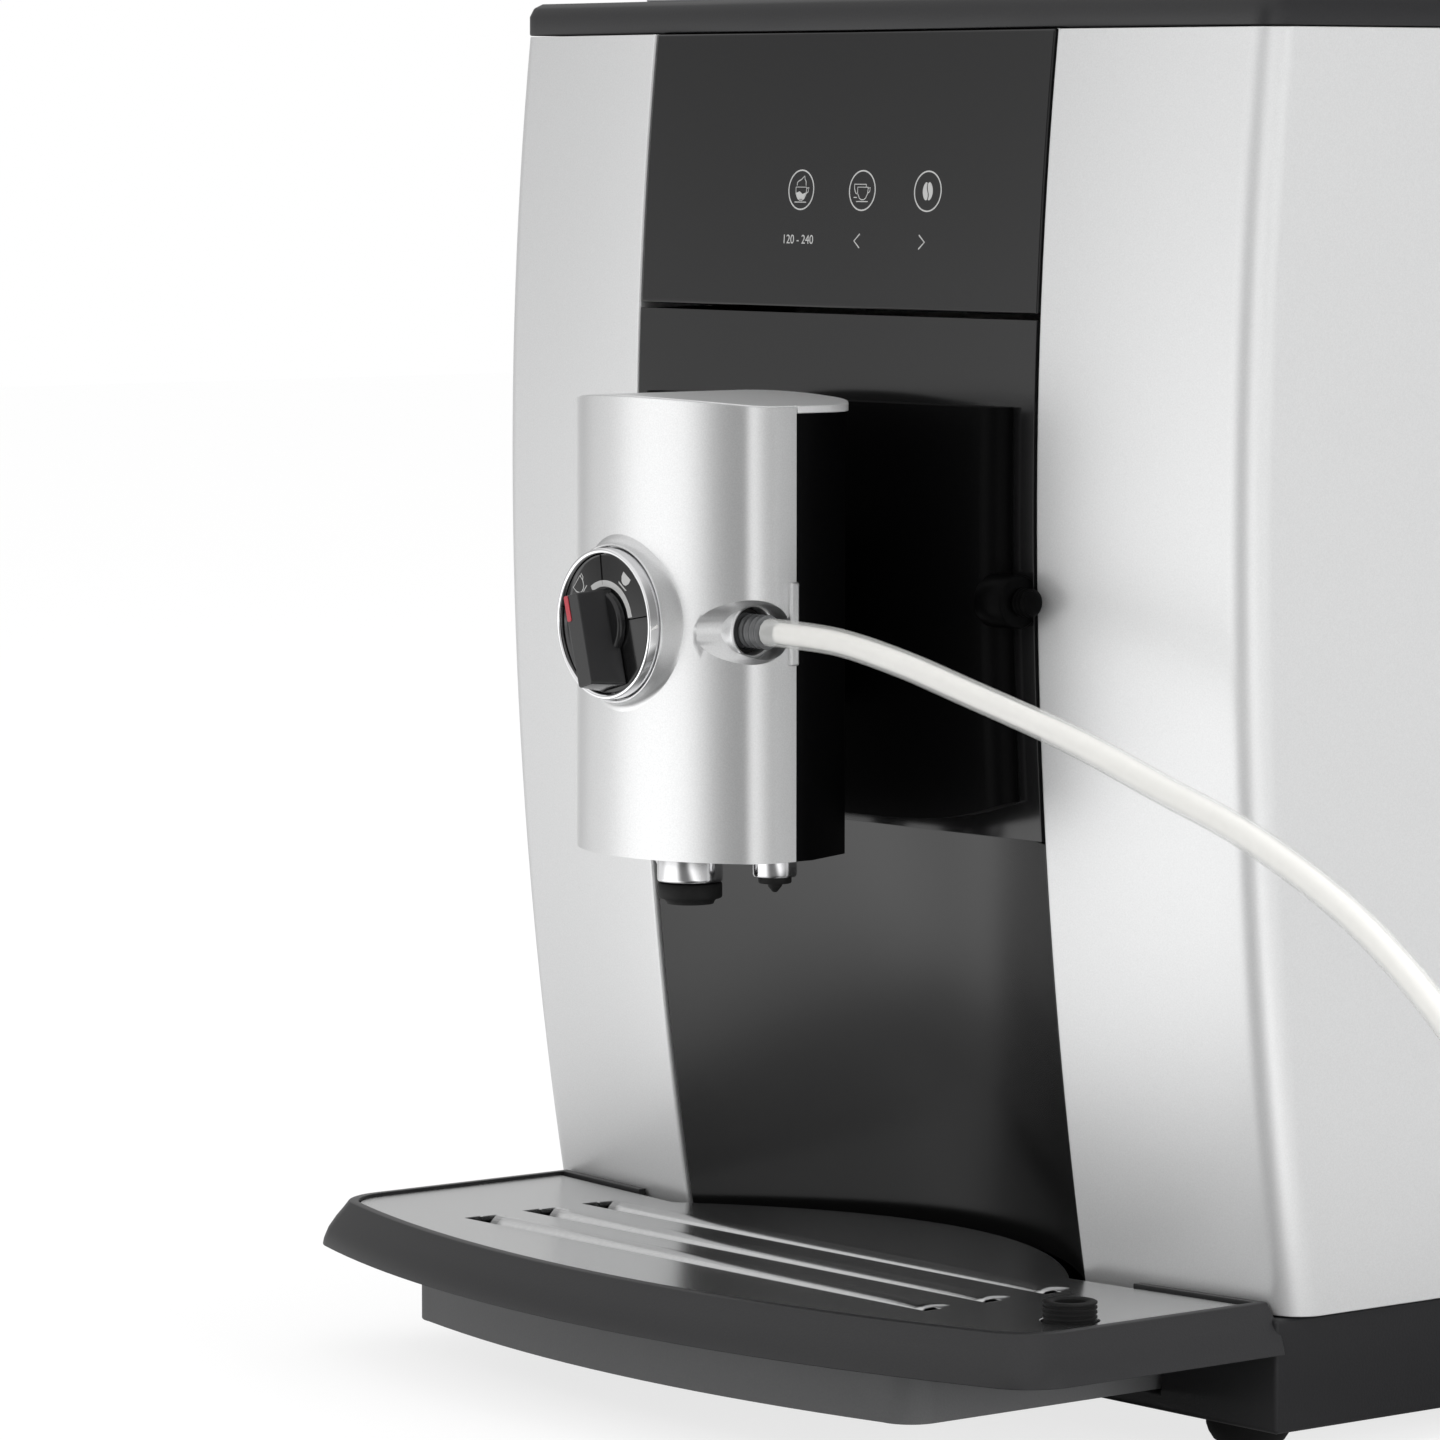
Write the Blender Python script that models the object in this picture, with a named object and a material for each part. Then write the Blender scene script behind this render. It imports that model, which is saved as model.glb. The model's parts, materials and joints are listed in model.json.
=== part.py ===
# Automatic coffee machine: a bean-to-cup machine with a height-adjustable spout.
# Metres, +Z up, the front faces -Y. The origin is the middle of the footprint, on the table.

import math

import bmesh
import bpy
from mathutils import Matrix, Vector

# Whole machine
BODY_WIDTH = 0.302
BODY_DEPTH = 0.450
BODY_HEIGHT = 0.370
FOOT_HEIGHT = 0.008
GAP = 0.0003
OVERRUN = 0.004
WALL = 0.0025
TRAY_REACH = 0.085
FRONT = TRAY_REACH - BODY_DEPTH / 2
REAR = BODY_DEPTH / 2

# Curve of the front: bowed in plan, and rounded from belly to brow in side view
BELLY_HEIGHT = 0.240
BROW_RADIUS = 1.03
LOWER_RADIUS = 1.50
BOW_RADIUS = 0.85
CENTRE_HALF_WIDTH = 0.0835
PANEL_JOINT = 0.0008
CHEEK_DROP = 0.0045
CHEEK_CORNER = 0.008
REAR_CORNER = 0.018
REAR_RETURN = 0.026

# Base frame, deck, bulkhead, covers
BASE_INSET = 0.0035
BASE_FLOOR = 0.0050
BASE_TOP = 0.0370
BASE_FRONT = -0.1165
BASE_CHANNEL_REAR = 0.060
DECK_THICKNESS = 0.0030
DECK_FRONT = -0.0850
BULKHEAD_FRONT = -0.0850
BULKHEAD_THICKNESS = 0.0025
BULKHEAD_WINDOW_WIDTH = 0.040
BULKHEAD_WINDOW_BOTTOM = 0.172
BULKHEAD_WINDOW_TOP = 0.212
FOOT_RADIUS = 0.011
FOOT_WAIST = 0.009
FOOT_SIDE = 0.115
FOOT_FRONT = -0.095
FOOT_REAR = 0.195
SHELL_TOP = 0.3570
TOP_EDGE_ROUNDING = 0.0035
TOP_SURFACE = 0.3660
VENT_COUNT = 8
VENT_HEIGHT = 0.0040
VENT_PITCH = 0.0090
VENT_LENGTH = 0.120
VENT_BOTTOM = 0.200

# Fascia, touch panel, guide and splash panel
FASCIA_BOTTOM = 0.1520
FASCIA_STEP = 0.2840
TOUCH_BOTTOM = 0.2854
TOUCH_THICKNESS = 0.0040
CEILING_THICKNESS = 0.0025
DISPLAY_HALF_WIDTH = 0.070
DISPLAY_HEIGHT = 0.055
DISPLAY_THICKNESS = 0.0016
GUIDE_HALF_WIDTH = 0.0760
GUIDE_DEPTH = 0.0060
GUIDE_TOP = 0.2620
GUIDE_BOTTOM = 0.1550
GUIDE_CORNER_RISE = 0.0070
GUIDE_EDGE = 0.0020
SLOT_HALF_WIDTH = 0.0084
SPLASH_EDGE_SET_BACK = 0.0010
SPLASH_TOP_DEPTH = 0.0200
SPLASH_FOOT_DEPTH = 0.0325
SPLASH_THICKNESS = 0.0030
SPLASH_TOP = 0.1515
SPIGOT_RADIUS = 0.0066
SPIGOT_REACH = 0.0080
SPIGOT_HEIGHT = 0.2133
SPIGOT_RIB = 0.0008

# Drip tray
PLATE_HALF_WIDTH = 0.1400
PLATE_TOP = 0.0400
PLATE_THICKNESS = 0.0016
PLATE_FRONT_RADIUS = 0.42
PLATE_APEX_SET_BACK = 0.0090
PLATE_CORNER = 0.016
RIM_WIDTH = 0.0025
RIM_RISE = 0.0008
SKIRT_FLARE = 0.0065
SKIRT_HEIGHT = 0.0125
TRAY_BACK_CLEARANCE = 0.0008
BOX_HALF_WIDTH = 0.1030
BOX_FRONT_SET_BACK = 0.0060
BOX_REAR = 0.0550
BOX_TOP = 0.0360
BOX_CORNER = 0.009
TRAY_WALL = 0.0022
SLOT_COUNT = 3
SLOT_PITCH = 0.0200
SLOT_FRONT = -0.1840
SLOT_REACH = 0.0950
SLOT_WIDTH = 0.0055
FLOAT_X = 0.1280
FLOAT_Y = -0.1680
FLOAT_RADIUS = 0.0068
FLOAT_BORE = 0.0040
FLOAT_RISE = 0.0050
FLOAT_CLEARANCE = 0.0005
FLOAT_WELL_FLOOR = 0.0120

# Water tank
TANK_LEFT = -0.1370
TANK_RIGHT = -0.0270
TANK_FRONT = 0.0450
TANK_REAR = 0.1950
TANK_WALL = 0.0025
TANK_RIM_DROP = 0.0010
OPENING_CLEARANCE = 0.0015
LID_THICKNESS = 0.0037
LID_LAP = 0.0025

# Bean hopper, grinder, chute and cup plate
GRINDER_X = 0.0800
GRINDER_Y = 0.1020
HOPPER_HALF_WIDTH = 0.0560
HOPPER_HALF_DEPTH = 0.0550
HOPPER_CORNER = 0.012
HOPPER_WALL = 0.0025
HOPPER_SHOULDER = 0.3080
HOPPER_NECK_TOP = 0.2780
HOPPER_NECK_RADIUS = 0.0340
HOPPER_OUTLET_RADIUS = 0.0200
MOTOR_RADIUS = 0.0300
MOTOR_FOOT_RADIUS = 0.0345
MOTOR_FOOT_HEIGHT = 0.0060
MOTOR_TOP = 0.2000
GRINDER_RADIUS = 0.0380
GRINDER_TOP = 0.2620
GRINDER_FLOOR = 0.0140
GRINDER_BORE = 0.0280
BURR_CLEARANCE = 0.0003
BURR_HEIGHT = 0.0120
BURR_SPACING = 0.0020
BURR_THROAT = 0.0110
BURR_SHAFT_RADIUS = 0.0050
SHAFT_CLEARANCE = 0.00005
KNOB_RADIUS = 0.0110
KNOB_Y = 0.0280
KNOB_HEIGHT = 0.0037
KNOB_SHAFT_RADIUS = 0.0030
LUG_WIDTH = 0.0160
LUG_THICKNESS = 0.0120
CHUTE_X = 0.0
CHUTE_Y = 0.0700
CHUTE_HALF_WIDTH = 0.0140
CHUTE_HALF_DEPTH = 0.0160
CHUTE_DEPTH = 0.0700
CHUTE_WALL = 0.0020
CHUTE_FLANGE = 0.0045
CHUTE_FLANGE_THICKNESS = 0.0012
FLAP_THICKNESS = 0.0022
CUP_PLATE_HALF_WIDTH = 0.1200
CUP_PLATE_FRONT = -0.1080
CUP_PLATE_REAR = 0.0060
CUP_PLATE_THICKNESS = 0.0022
CUP_SLOT_COUNT = 8
CUP_SLOT_WIDTH = 0.0030

# Brew unit, grounds container and service door
BREW_X = -0.0850
BREW_Y = -0.0200
BREW_FRAME_LEFT = -0.1300
BREW_FRAME_RIGHT = -0.0300
BREW_FRAME_FRONT = -0.0820
BREW_FRAME_REAR = 0.0400
BREW_PLATE = 0.0030
PLATFORM_HEIGHT = 0.1200
SHELF_HEIGHT = 0.2500
SHELF_DEPTH = 0.0850
CYLINDER_RADIUS = 0.0290
CYLINDER_BORE = 0.0250
CYLINDER_HEIGHT = 0.0500
PISTON_CLEARANCE = 0.0003
PISTON_THICKNESS = 0.0080
PISTON_LIFT = 0.0030
PISTON_STROKE = 0.0400
SPINDLE_X = -0.0440
SPINDLE_RADIUS = 0.0040
SPINDLE_CLEARANCE = 0.0002
NUT_RADIUS = 0.0080
ARM_WIDTH = 0.0100
BREW_MOTOR_HEIGHT = 0.0380
BREW_MOTOR_WIDTH = 0.0440
GROUNDS_LEFT = -0.1400
GROUNDS_FRONT_CLEARANCE = 0.0008
GROUNDS_HEIGHT = 0.0700
GROUNDS_WALL = 0.0020
DOOR_FRONT = -0.0620
DOOR_REAR = 0.0360
DOOR_BOTTOM = 0.0600
DOOR_TOP = 0.2600
DOOR_CLEARANCE = 0.0006

# Heater, pump, boards and mains parts
THERMOBLOCK_LEFT = 0.0050
THERMOBLOCK_WIDTH = 0.0700
THERMOBLOCK_FRONT = -0.0800
THERMOBLOCK_DEPTH = 0.0350
THERMOBLOCK_HEIGHT = 0.1100
THERMOBLOCK_STUB_RADIUS = 0.0050
THERMOBLOCK_STUB_REACH = 0.0120
PUMP_X = 0.1050
PUMP_FRONT = -0.0600
PUMP_LENGTH = 0.0900
PUMP_RADIUS = 0.0230
PUMP_CORE_RADIUS = 0.0140
PUMP_NOZZLE_RADIUS = 0.0040
BOARD_FRONT = -0.0700
BOARD_LENGTH = 0.1500
BOARD_BOTTOM = 0.1450
BOARD_HEIGHT = 0.1300
BOARD_THICKNESS = 0.0016
STANDOFF = 0.0080
STANDOFF_WIDTH = 0.0060
BOARD_PART_HEIGHT = 0.0140
INLET_X = 0.0700
INLET_HEIGHT = 0.0750
INLET_HALF_WIDTH = 0.0135
INLET_HALF_HEIGHT = 0.0100
INLET_DEPTH = 0.0280
INLET_WELL_DEPTH = 0.0160
INLET_LIP = 0.0020
PIN_RADIUS = 0.0012
PIN_SPACING = 0.0070
ROCKER_X = 0.1000
ROCKER_HALF_WIDTH = 0.0070
ROCKER_HALF_HEIGHT = 0.0100
ROCKER_DEPTH = 0.0060
ROCKER_PROUD = 0.0010
ROCKER_CLEARANCE = 0.0004

# Spout
SPOUT_APEX = -0.2080
SPOUT_HALF_WIDTH = 0.0380
SPOUT_BOW_RADIUS = 0.0520
SPOUT_CORNER = 0.0120
SPOUT_SEAM = -0.1810
SPOUT_BACK = -0.1585
SPOUT_BACK_HALF_WIDTH = 0.0304
SPOUT_BOTTOM = 0.1468
SPOUT_TOP = 0.2615
SPOUT_WALL = 0.0020
SPOUT_FLOOR = 0.0030
SPOUT_LID_THICKNESS = 0.0020
SPOUT_LID_SWELL = 0.0022
SPOUT_LID_BACK = -0.1570
SPOUT_LID_CORNER = 0.0130
CARRIAGE_HALF_WIDTH = 0.0080
CARRIAGE_BOTTOM = 0.1830
CARRIAGE_TOP = 0.2260
CARRIAGE_FLANGE_HALF_WIDTH = 0.0160
CARRIAGE_FLANGE_THICKNESS = 0.0040
CARRIAGE_PLAY = 0.0002
SPOUT_RAISE = 0.0300
SPOUT_LOWER = 0.0200
CLIP_BOTTOM = 0.1967
CLIP_TOP = 0.2179
CLIP_WIDTH = 0.0028
CLIP_DEPTH = 0.0014

# Milk dial
DIAL_HEIGHT = 0.2066
BEZEL_RADIUS = 0.0220
BEZEL_LIP_RADIUS = 0.0203
BEZEL_FRONT = -0.2105
RING_RADIUS = 0.0193
RING_BORE = 0.0180
RING_FRONT = -0.2135
RING_BACK = -0.2085
FACE_FRONT = -0.2125
FACE_THICKNESS = 0.0018
DIAL_SEAT_DEPTH = 0.0030
KNOB_BASE_RADIUS = 0.0100
KNOB_BASE_THICKNESS = 0.0020
RIDGE_WIDTH = 0.0056
RIDGE_FOOT_WIDTH = 0.0100
RIDGE_FRONT = -0.2222
RIDGE_TOP_REACH = 0.0086
RIDGE_TAIL_REACH = 0.0168
KNOB_TURN_DEGREES = -15.0
STEM_RADIUS = 0.0030
STEM_LENGTH = 0.0060

# Milk connection and outlets
SOCKET_Y = -0.1900
SOCKET_HEIGHT = 0.2055
SCOOP_RADIUS = 0.0078
SCOOP_DEGREES = 53.0
SCOOP_TIP_X = 0.0240
SCOOP_LEAD = 0.0015
SCOOP_TIP_Y = -0.2018
SOCKET_HOLE_RADIUS = 0.0060
SOCKET_INNER = 0.0113
SOCKET_FACE = 0.0295
SOCKET_BORE = 0.0046
ADAPTER_RADIUS = 0.0040
ADAPTER_RIB = 0.0005
ADAPTER_RIB_COUNT = 4
ADAPTER_END = 0.0381
ADAPTER_INNER = 0.0180
ADAPTER_BORE = 0.0018
FROTHER_Y = SOCKET_Y
FROTHER_RADIUS = 0.0110
FROTHER_HEIGHT = 0.0625
NOZZLE_Y = -0.1850
NOZZLE_RADIUS = 0.0085
NOZZLE_BORE = 0.0050
NOZZLE_BOTTOM = 0.1390
NOZZLE_RING_RADIUS = 0.0083
NOZZLE_LIP_RADIUS = 0.0062
NOZZLE_RING_BOTTOM = 0.1348
NOZZLE_LIP_BOTTOM = 0.1333
OUTLET_X = 0.0200
OUTLET_Y = -0.1732
OUTLET_RADIUS = 0.0057
OUTLET_BOTTOM = 0.1412
OUTLET_DISC_RADIUS = 0.0043
OUTLET_DISC_BOTTOM = 0.1394
OUTLET_TIP_RADIUS = 0.0018
OUTLET_TIP_BOTTOM = 0.1370

# Milk hose, lying free
HOSE_RADIUS = 0.00375
HOSE_STEPS = 78
HOSE_SIDES = 3
FITTING_RADIUS = 0.0042
FITTING_HEAD_RADIUS = 0.0040
FITTING_LENGTH = 0.0240

STEPS = 24
FINE_STEPS = 32
Z_AXIS = "Z"
Y_AXIS = "Y"
X_AXIS = "X"


# Helpers

def clear_scene():
    for obj in list(bpy.data.objects):
        bpy.data.objects.remove(obj)


FINISHES = {}


def finish(name, colour, roughness, metallic=0.0):
    """A Principled material, made once for each name."""
    if name not in FINISHES:
        material = bpy.data.materials.new(name)
        material.use_nodes = True
        shader = material.node_tree.nodes["Principled BSDF"]
        shader.inputs["Base Color"].default_value = (*colour, 1.0)
        shader.inputs["Roughness"].default_value = roughness
        shader.inputs["Metallic"].default_value = metallic
        material.diffuse_color = (*colour, 1.0)
        FINISHES[name] = material
    return FINISHES[name]


def silver():
    return finish("silver paint", (0.60, 0.60, 0.61), 0.35, 0.7)


def black_gloss():
    return finish("black gloss", (0.012, 0.012, 0.013), 0.15)


def black_matt():
    return finish("black matt", (0.015, 0.015, 0.016), 0.55)


def dark_grey():
    return finish("dark grey", (0.045, 0.045, 0.047), 0.5)


def chrome():
    return finish("chrome", (0.75, 0.75, 0.76), 0.08, 1.0)


def steel():
    return finish("steel", (0.50, 0.50, 0.50), 0.30, 1.0)


def rubber():
    return finish("rubber", (0.02, 0.02, 0.02), 0.8)


def clear_plastic():
    return finish("smoked plastic", (0.10, 0.11, 0.12), 0.2)


def grey_plastic():
    return finish("grey plastic", (0.35, 0.35, 0.34), 0.4)


def board_green():
    return finish("circuit board", (0.02, 0.12, 0.05), 0.5)


def milky():
    return finish("milky silicone", (0.80, 0.79, 0.77), 0.3)


def add(name, bm, material, origin=(0, 0, 0)):
    """Turns a closed bmesh into a named object whose origin lies at the given point."""
    bmesh.ops.recalc_face_normals(bm, faces=bm.faces)
    bmesh.ops.translate(bm, verts=bm.verts, vec=-Vector(origin))
    mesh = bpy.data.meshes.new(name)
    bm.to_mesh(mesh)
    bm.free()
    mesh.shade_smooth()
    mesh.set_sharp_from_angle(angle=math.radians(35))
    mesh.materials.append(material)
    obj = bpy.data.objects.new(name, mesh)
    obj.location = origin
    bpy.context.scene.collection.objects.link(obj)
    return obj


def boolean(obj, tool, operation):
    """Cuts, or joins on, a hidden helper that shares no origin with the piece."""
    tool.hide_render = True
    tool.display_type = "WIRE"
    modifier = obj.modifiers.new(tool.name, "BOOLEAN")
    modifier.operation = operation
    modifier.solver = "EXACT"
    modifier.object = tool
    return obj


def cut(obj, tool):
    return boolean(obj, tool, "DIFFERENCE")


def join(obj, tool):
    return boolean(obj, tool, "UNION")


def slab_mesh(bm, low, high):
    size = [b - a for a, b in zip(low, high)]
    middle = [(a + b) / 2 for a, b in zip(low, high)]
    made = bmesh.ops.create_cube(bm, size=1.0)["verts"]
    bmesh.ops.scale(bm, verts=made, vec=size)
    bmesh.ops.translate(bm, verts=made, vec=middle)
    return made


def slab(name, low, high, material, origin=(0, 0, 0), edge=0):
    """A block between two corners, with its edges rounded over when edge is set."""
    bm = bmesh.new()
    slab_mesh(bm, low, high)
    if edge:
        bmesh.ops.bevel(bm, geom=bm.edges[:], offset=edge, segments=1, affect="EDGES", profile=0.5)
    return add(name, bm, material, origin)


def slabs(name, pairs):
    """Several blocks in one helper, for cutting."""
    bm = bmesh.new()
    for low, high in pairs:
        slab_mesh(bm, low, high)
    return add(name, bm, black_matt())


def tool_slab(name, low, high):
    return slab(name, low, high, black_matt())


def loft(name, rings, material, origin=(0, 0, 0), strip=False):
    """Skins rings of equally many points, and caps both ends: in quads when the rings are strips."""
    bm = bmesh.new()
    rows = [[bm.verts.new(point) for point in ring] for ring in rings]
    count = len(rows[0])
    for lower, upper in zip(rows, rows[1:]):
        for i in range(count):
            j = (i + 1) % count
            bm.faces.new((lower[i], lower[j], upper[j], upper[i]))
    for row in (rows[0], rows[-1]):
        if strip:
            for i in range(count // 2 - 1):
                bm.faces.new((row[i], row[i + 1], row[-i - 2], row[-i - 1]))
        else:
            bm.faces.new(row)
    return add(name, bm, material, origin)


def prism(name, outline, bottom, top, material, origin=(0, 0, 0)):
    """An outline in plan, drawn up from bottom to top."""
    rings = [[(x, y, z) for x, y in outline] for z in (bottom, top)]
    return loft(name, rings, material, origin)


def turned(name, profile, centre, axis, material, origin=(0, 0, 0), steps=STEPS):
    """Turns a closed profile of (radius, place along the axis) about an axis through a point."""
    bm = bmesh.new()
    points = [bm.verts.new((radius, 0, along)) for radius, along in profile]
    loop = list(zip(points, points[1:]))
    if profile[0][0] > 0:
        loop.append((points[-1], points[0]))
    edges = [bm.edges.new(pair) for pair in loop]
    bmesh.ops.spin(bm, geom=points + edges, cent=(0, 0, 0), axis=(0, 0, 1), angle=math.tau,
                   steps=steps, use_merge=True)
    bmesh.ops.remove_doubles(bm, verts=bm.verts, dist=GAP / 100)
    if axis == X_AXIS:
        bmesh.ops.rotate(bm, verts=bm.verts, matrix=Matrix.Rotation(math.pi / 2, 3, "Y"))
    if axis == Y_AXIS:
        bmesh.ops.rotate(bm, verts=bm.verts, matrix=Matrix.Rotation(-math.pi / 2, 3, "X"))
    bmesh.ops.translate(bm, verts=bm.verts, vec=centre)
    return add(name, bm, material, origin)


def rod(radius, start, end):
    """Profile of a plain round bar."""
    return [(0, start), (radius, start), (radius, end), (0, end)]


def tube(outer, bore, start, end):
    """Profile of a plain round tube."""
    return [(bore, start), (outer, start), (outer, end), (bore, end)]


def arc(centre, radius, start, end, count):
    """Points of a circular arc in plan, angles in degrees."""
    angles = [math.radians(start + (end - start) * i / (count - 1)) for i in range(count)]
    return [(centre[0] + radius * math.cos(a), centre[1] + radius * math.sin(a)) for a in angles]


def mirrored(points):
    """The same points on the other side of the middle plane, in reverse order."""
    return [(-x, y) for x, y in reversed(points)]


def between(low, high, count):
    return [low + (high - low) * i / (count - 1) for i in range(count)]


def inward(path, distance, closed=False):
    """Shifts each point of a path to its left by a wall thickness, mitred at the corners."""
    shifted = []
    last = len(path) - 1
    for i, point in enumerate(path):
        before = path[i - 1] if i or closed else None
        after = path[(i + 1) % len(path)] if i < last or closed else None
        normals = []
        for a, b in ((before, point), (point, after)):
            if a is None or b is None:
                continue
            run = (Vector(b) - Vector(a)).normalized()
            normals.append(Vector((-run.y, run.x)))
        total = sum(normals, Vector((0, 0)))
        scale = distance / (total.length_squared / len(normals) ** 2) / len(normals)
        shifted.append((point[0] + total.x * scale, point[1] + total.y * scale))
    return shifted


def ribbon(path, wall):
    """A wall of even thickness along an open path."""
    return path + list(reversed(inward(path, wall)))


# Surfaces that several pieces share

def front(x, z):
    """The machine's front surface: how far back it lies at a place."""
    radius = BROW_RADIUS if z > BELLY_HEIGHT else LOWER_RADIUS
    return FRONT + (z - BELLY_HEIGHT) ** 2 / (2 * radius) + x * x / (2 * BOW_RADIUS)


def centre_arc(z, set_back=0.0, half_width=CENTRE_HALF_WIDTH):
    return [(x, front(x, z) + set_back) for x in between(-half_width, half_width, 11)]


def cheek_line(z):
    """The right cheek's outer line in plan, from its inner edge to the side wall."""
    inner = CENTRE_HALF_WIDTH + PANEL_JOINT
    side = BODY_WIDTH / 2
    start = (inner, front(inner, z))
    corner_y = start[1] + CHEEK_DROP
    corner = (side - CHEEK_CORNER, corner_y + CHEEK_CORNER)
    return [start] + arc(corner, CHEEK_CORNER, -90, 0, 6)


def splash_front(x, z):
    """The hollow front surface of the splash panel."""
    share = (z - BASE_TOP) / (SPLASH_TOP - BASE_TOP)
    depth = SPLASH_FOOT_DEPTH + (SPLASH_TOP_DEPTH - SPLASH_FOOT_DEPTH) * share
    edge = front(CENTRE_HALF_WIDTH, z) + SPLASH_EDGE_SET_BACK
    return edge + depth * (1 - (x / CENTRE_HALF_WIDTH) ** 2)


DECK_TOP = BASE_TOP + GAP + DECK_THICKNESS
FLOOR = DECK_TOP + GAP
BULKHEAD_REAR = BULKHEAD_FRONT + BULKHEAD_THICKNESS
SIDE = BODY_WIDTH / 2


# Base and frame

def base_frame():
    half = SIDE - BASE_INSET
    rear = REAR - BASE_INSET
    corner = REAR_CORNER / 2
    outline = [(-half, BASE_FRONT), (half, BASE_FRONT)]
    outline += arc((half - corner, rear - corner), corner, 0, 90, 4)
    outline += arc((corner - half, rear - corner), corner, 90, 180, 4)
    base = prism("base_frame", outline, FOOT_HEIGHT, BASE_TOP, black_matt())
    channel = BOX_HALF_WIDTH + OPENING_CLEARANCE
    floor = FOOT_HEIGHT + BASE_FLOOR
    cut(base, tool_slab("base_channel", (-channel, BASE_FRONT - OVERRUN, floor),
                        (channel, BASE_CHANNEL_REAR, BASE_TOP + OVERRUN)))
    return base


def feet():
    places = {
        "foot_front_left": (-FOOT_SIDE, FOOT_FRONT),
        "foot_front_right": (FOOT_SIDE, FOOT_FRONT),
        "foot_rear_left": (-FOOT_SIDE, FOOT_REAR),
        "foot_rear_right": (FOOT_SIDE, FOOT_REAR),
    }
    top = FOOT_HEIGHT - GAP
    profile = [(0, 0), (FOOT_WAIST, 0), (FOOT_RADIUS, top / 2), (FOOT_RADIUS, top), (0, top)]
    for name, (x, y) in places.items():
        turned(name, profile, (x, y, 0), Z_AXIS, rubber(), steps=16)


def chassis_deck():
    half = SIDE - WALL - GAP
    rear = REAR - WALL - GAP
    corner = REAR_CORNER
    bottom = BASE_TOP + GAP
    outline = [(-half, DECK_FRONT), (half, DECK_FRONT)]
    outline += arc((half - corner, rear - corner), corner, 0, 90, 4)
    outline += arc((corner - half, rear - corner), corner, 90, 180, 4)
    prism("chassis_deck", outline, bottom, DECK_TOP, steel())


def bulkhead():
    half = CENTRE_HALF_WIDTH - WALL
    wall = slab("bulkhead", (-half, BULKHEAD_FRONT, FLOOR), (half, BULKHEAD_REAR, SHELL_TOP), grey_plastic())
    window = BULKHEAD_WINDOW_WIDTH / 2
    cut(wall, tool_slab("bulkhead_window", (-window, BULKHEAD_FRONT - OVERRUN, BULKHEAD_WINDOW_BOTTOM),
                        (window, BULKHEAD_REAR + OVERRUN, BULKHEAD_WINDOW_TOP)))


# Casing

def shell_ring(z):
    """The right shell's wall in plan: inner flange, cheek, side and rear return."""
    inner = CENTRE_HALF_WIDTH + PANEL_JOINT
    path = [(inner, DECK_FRONT - GAP)] + cheek_line(z)
    corner = (SIDE - REAR_CORNER, REAR - REAR_CORNER)
    path += arc(corner, REAR_CORNER, 0, 90, 5)
    path += [(SIDE - REAR_RETURN, REAR)]
    return ribbon(path, WALL)


def side_shells():
    levels = between(BASE_TOP + GAP, SHELL_TOP, 7)
    for name, side in (("right_side_shell", 1), ("left_side_shell", -1)):
        rings = [[(side * x, y, z) for x, y in shell_ring(z)] for z in levels]
        loft(name, rings, silver(), strip=True)
    cut(bpy.data.objects["left_side_shell"],
        tool_slab("door_opening", (-SIDE - OVERRUN, DOOR_FRONT, DOOR_BOTTOM),
                  (OVERRUN - SIDE, DOOR_REAR, DOOR_TOP)))


def service_door():
    low = (-SIDE, DOOR_FRONT + DOOR_CLEARANCE, DOOR_BOTTOM + DOOR_CLEARANCE)
    high = (WALL - SIDE, DOOR_REAR - DOOR_CLEARANCE, DOOR_TOP - DOOR_CLEARANCE)
    hinge = (low[0], high[1], (DOOR_BOTTOM + DOOR_TOP) / 2)
    slab("service_door", low, high, silver(), hinge)


def rear_cover():
    half = SIDE - REAR_RETURN - PANEL_JOINT
    cover = slab("rear_cover", (-half, REAR - WALL, BASE_TOP + GAP), (half, REAR, SHELL_TOP), black_matt())
    vents = []
    for i in range(VENT_COUNT):
        z = VENT_BOTTOM + VENT_PITCH * i
        vents.append(((-VENT_LENGTH / 2, REAR - WALL - OVERRUN, z),
                      (VENT_LENGTH / 2, REAR + OVERRUN, z + VENT_HEIGHT)))
    for x, half_x, half_z in ((INLET_X, INLET_HALF_WIDTH, INLET_HALF_HEIGHT),
                              (ROCKER_X, ROCKER_HALF_WIDTH, ROCKER_HALF_HEIGHT)):
        play = ROCKER_CLEARANCE
        vents.append(((x - half_x - play, REAR - WALL - OVERRUN, INLET_HEIGHT - half_z - play),
                      (x + half_x + play, REAR + OVERRUN, INLET_HEIGHT + half_z + play)))
    cut(cover, slabs("rear_openings", vents))


def body_outline(z):
    """The whole body in plan, anticlockwise from the front left."""
    cheek = cheek_line(z)
    rear = arc((SIDE - REAR_CORNER, REAR - REAR_CORNER), REAR_CORNER, 0, 90, 5)
    middle = centre_arc(z)[1:-1]
    half = cheek + rear
    return middle + half + mirrored(half)


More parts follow.
